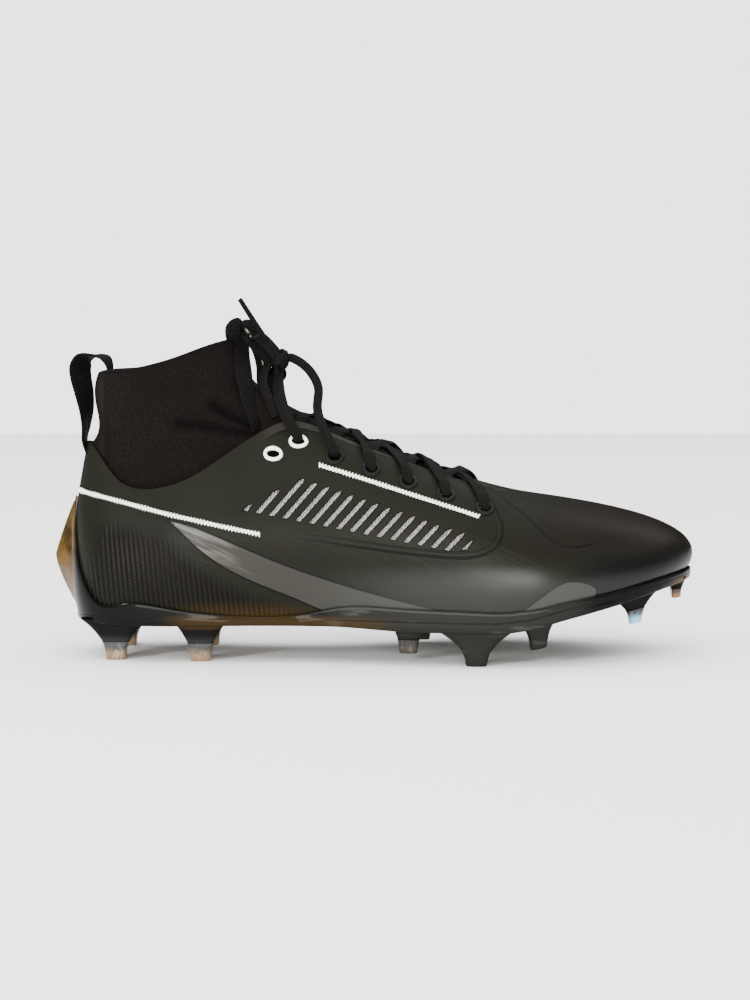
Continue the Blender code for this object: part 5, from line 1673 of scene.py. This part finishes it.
def make_camera():
    data = bpy.data.cameras.new("camera")
    data.lens = CAMERA_LENS
    data.clip_start = 0.01
    obj = bpy.data.objects.new("camera", data)
    bpy.context.scene.collection.objects.link(obj)
    tilt = math.radians(CAMERA_ELEVATION)
    away = Vector((0.0, -math.cos(tilt), math.sin(tilt))) * CAMERA_DISTANCE
    obj.location = Vector(CAMERA_TARGET) + away
    obj.rotation_euler = (math.pi / 2 - tilt, 0.0, 0.0)
    bpy.context.scene.camera = obj


def area_light(name, place, target, size, power, tone=(1.0, 1.0, 1.0)):
    data = bpy.data.lights.new(name, "AREA")
    data.shape = "RECTANGLE"
    data.size, data.size_y = size
    data.energy = power
    data.color = tone
    obj = bpy.data.objects.new(name, data)
    bpy.context.scene.collection.objects.link(obj)
    obj.location = place
    way = Vector(target) - Vector(place)
    obj.rotation_euler = way.to_track_quat("-Z", "Y").to_euler()


def make_stage():
    """Pale floor, soft studio lights and a pale surround."""
    mesh = bpy.data.meshes.new("floor")
    half, back = FLOOR_HALF, FLOOR_BACK
    mesh.from_pydata([(-half, -half, 0), (half, -half, 0), (half, back, 0), (-half, back, 0)],
                     [], [(0, 1, 2, 3)])
    floor = bpy.data.objects.new("floor", mesh)
    bpy.context.scene.collection.objects.link(floor)
    mesh.materials.append(plain_finish("pale floor", (0.90, 0.90, 0.90), 0.8, 30.0, 0.0, 0.02,
                                       Specular_IOR_Level=0.1))
    world = bpy.data.worlds.new("surround")
    bpy.context.scene.world = world
    world.use_nodes = True
    tree = world.node_tree
    background = tree.nodes["Background"]
    background.inputs["Color"].default_value = (1.0, 1.0, 1.0, 1.0)
    seen = tree.nodes.new("ShaderNodeLightPath")
    strength = tree.nodes.new("ShaderNodeMapRange")
    strength.inputs["To Min"].default_value = SURROUND_LIGHT
    strength.inputs["To Max"].default_value = SURROUND_SEEN
    tree.links.new(seen.outputs["Is Camera Ray"], strength.inputs["Value"])
    tree.links.new(strength.outputs["Result"], background.inputs["Strength"])
    area_light("top", (0.0, -0.4, 3.2), (0, -0.4, 0), (10.0, 7.8), 1050.0)
    area_light("front", (-0.10, -1.7, 0.20), (0.02, 0, 0.06), (1.5, 0.42), 60.0, (1.0, 0.97, 0.92))
    area_light("window", (-0.85, -0.9, 0.42), (-0.05, 0, 0.05), (0.16, 0.24), 12.0)


# Operators, one for each piece or group of like pieces

class CLEAT_OT_camera(bpy.types.Operator):
    """Places the camera at the photograph's angle"""

    bl_idname = "cleat.camera"
    bl_label = "Camera"

    def execute(self, context):
        make_camera()
        return {"FINISHED"}


class CLEAT_OT_free_lace(bpy.types.Operator):
    """Lays the free lace, its ends and its knot"""

    bl_idname = "cleat.free_lace"
    bl_label = "Free lace"

    def execute(self, context):
        make_free_lace(context)
        return {"FINISHED"}


class CLEAT_OT_lace_crossings(bpy.types.Operator):
    """Runs the tight lace over the throat"""

    bl_idname = "cleat.lace_crossings"
    bl_label = "Lace crossings"

    def execute(self, context):
        make_lace_crossings(context)
        return {"FINISHED"}


class CLEAT_OT_shell(bpy.types.Operator):
    """Builds the coated shell of the upper with its slots and holes"""

    bl_idname = "cleat.shell"
    bl_label = "Shell"

    def execute(self, context):
        make_shell(context)
        return {"FINISHED"}


class CLEAT_OT_vent_lining(bpy.types.Operator):
    """Puts the mesh lining behind the slots"""

    bl_idname = "cleat.vent_lining"
    bl_label = "Vent lining"

    def execute(self, context):
        make_vent_lining(context)
        return {"FINISHED"}


class CLEAT_OT_collar(bpy.types.Operator):
    """Knits the collar and tongue"""

    bl_idname = "cleat.collar"
    bl_label = "Knit collar"

    def execute(self, context):
        make_collar(context)
        return {"FINISHED"}


class CLEAT_OT_plate(bpy.types.Operator):
    """Moulds the plate, its flank, keel and stud roots"""

    bl_idname = "cleat.plate"
    bl_label = "Plate"

    def execute(self, context):
        make_plate(context)
        return {"FINISHED"}


class CLEAT_OT_stud_tips(bpy.types.Operator):
    """Moulds the stud tips"""

    bl_idname = "cleat.stud_tips"
    bl_label = "Stud tips"

    def execute(self, context):
        make_stud_tips(context)
        return {"FINISHED"}


class CLEAT_OT_eyelets(bpy.types.Operator):
    """Sets the rings round the lace holes and the discs of painted shade behind them"""

    bl_idname = "cleat.eyelets"
    bl_label = "Eyelets"

    def execute(self, context):
        make_eyelets(context)
        make_eyelet_shade_discs()
        return {"FINISHED"}


class CLEAT_OT_piping(bpy.types.Operator):
    """Stitches the white lines"""

    bl_idname = "cleat.piping"
    bl_label = "Stitched piping"

    def execute(self, context):
        make_piping(context)
        return {"FINISHED"}


class CLEAT_OT_webbing(bpy.types.Operator):
    """Sews on the webbing loops"""

    bl_idname = "cleat.webbing"
    bl_label = "Webbing loops"

    def execute(self, context):
        make_webbing(context)
        return {"FINISHED"}


class CLEAT_OT_insole(bpy.types.Operator):
    """Gives the sockliner its cloth"""

    bl_idname = "cleat.insole"
    bl_label = "Insole"

    def execute(self, context):
        make_insole()
        return {"FINISHED"}


class CLEAT_OT_stage(bpy.types.Operator):
    """Sets the floor and the lights"""

    bl_idname = "cleat.stage"
    bl_label = "Stage"

    def execute(self, context):
        make_stage()
        return {"FINISHED"}


STEPS = (CLEAT_OT_camera, CLEAT_OT_free_lace, CLEAT_OT_lace_crossings, CLEAT_OT_shell,
         CLEAT_OT_vent_lining, CLEAT_OT_collar, CLEAT_OT_plate, CLEAT_OT_stud_tips,
         CLEAT_OT_eyelets, CLEAT_OT_piping, CLEAT_OT_webbing, CLEAT_OT_insole, CLEAT_OT_stage)


class CLEAT_PT_panel(bpy.types.Panel):
    """Lists the steps, sizes and colours of the cleat"""

    bl_idname = "CLEAT_PT_panel"
    bl_label = "Football cleat"
    bl_space_type = "VIEW_3D"
    bl_region_type = "UI"
    bl_category = "Cleat"

    def draw(self, context):
        for step in STEPS:
            self.layout.operator(step.bl_idname)
        for group in (context.scene.cleat_sizes, context.scene.cleat_colours):
            for name in group.bl_rna.properties.keys():
                if name not in ("rna_type", "name"):
                    self.layout.prop(group, name)


CLASSES = (CleatSizes, CleatColours) + STEPS + (CLEAT_PT_panel,)


def register():
    for made in CLASSES:
        bpy.utils.register_class(made)
    bpy.types.Scene.cleat_sizes = bpy.props.PointerProperty(type=CleatSizes)
    bpy.types.Scene.cleat_colours = bpy.props.PointerProperty(type=CleatColours)


def unregister():
    del bpy.types.Scene.cleat_colours
    del bpy.types.Scene.cleat_sizes
    for made in reversed(CLASSES):
        bpy.utils.unregister_class(made)


def main():
    register()
    bpy.ops.cleat.camera()
    bpy.ops.cleat.free_lace()
    bpy.ops.cleat.lace_crossings()
    bpy.ops.cleat.shell()
    bpy.ops.cleat.vent_lining()
    bpy.ops.cleat.collar()
    bpy.ops.cleat.plate()
    bpy.ops.cleat.stud_tips()
    bpy.ops.cleat.eyelets()
    bpy.ops.cleat.piping()
    bpy.ops.cleat.webbing()
    bpy.ops.cleat.insole()
    bpy.ops.cleat.stage()


if __name__ == "__main__":
    main()
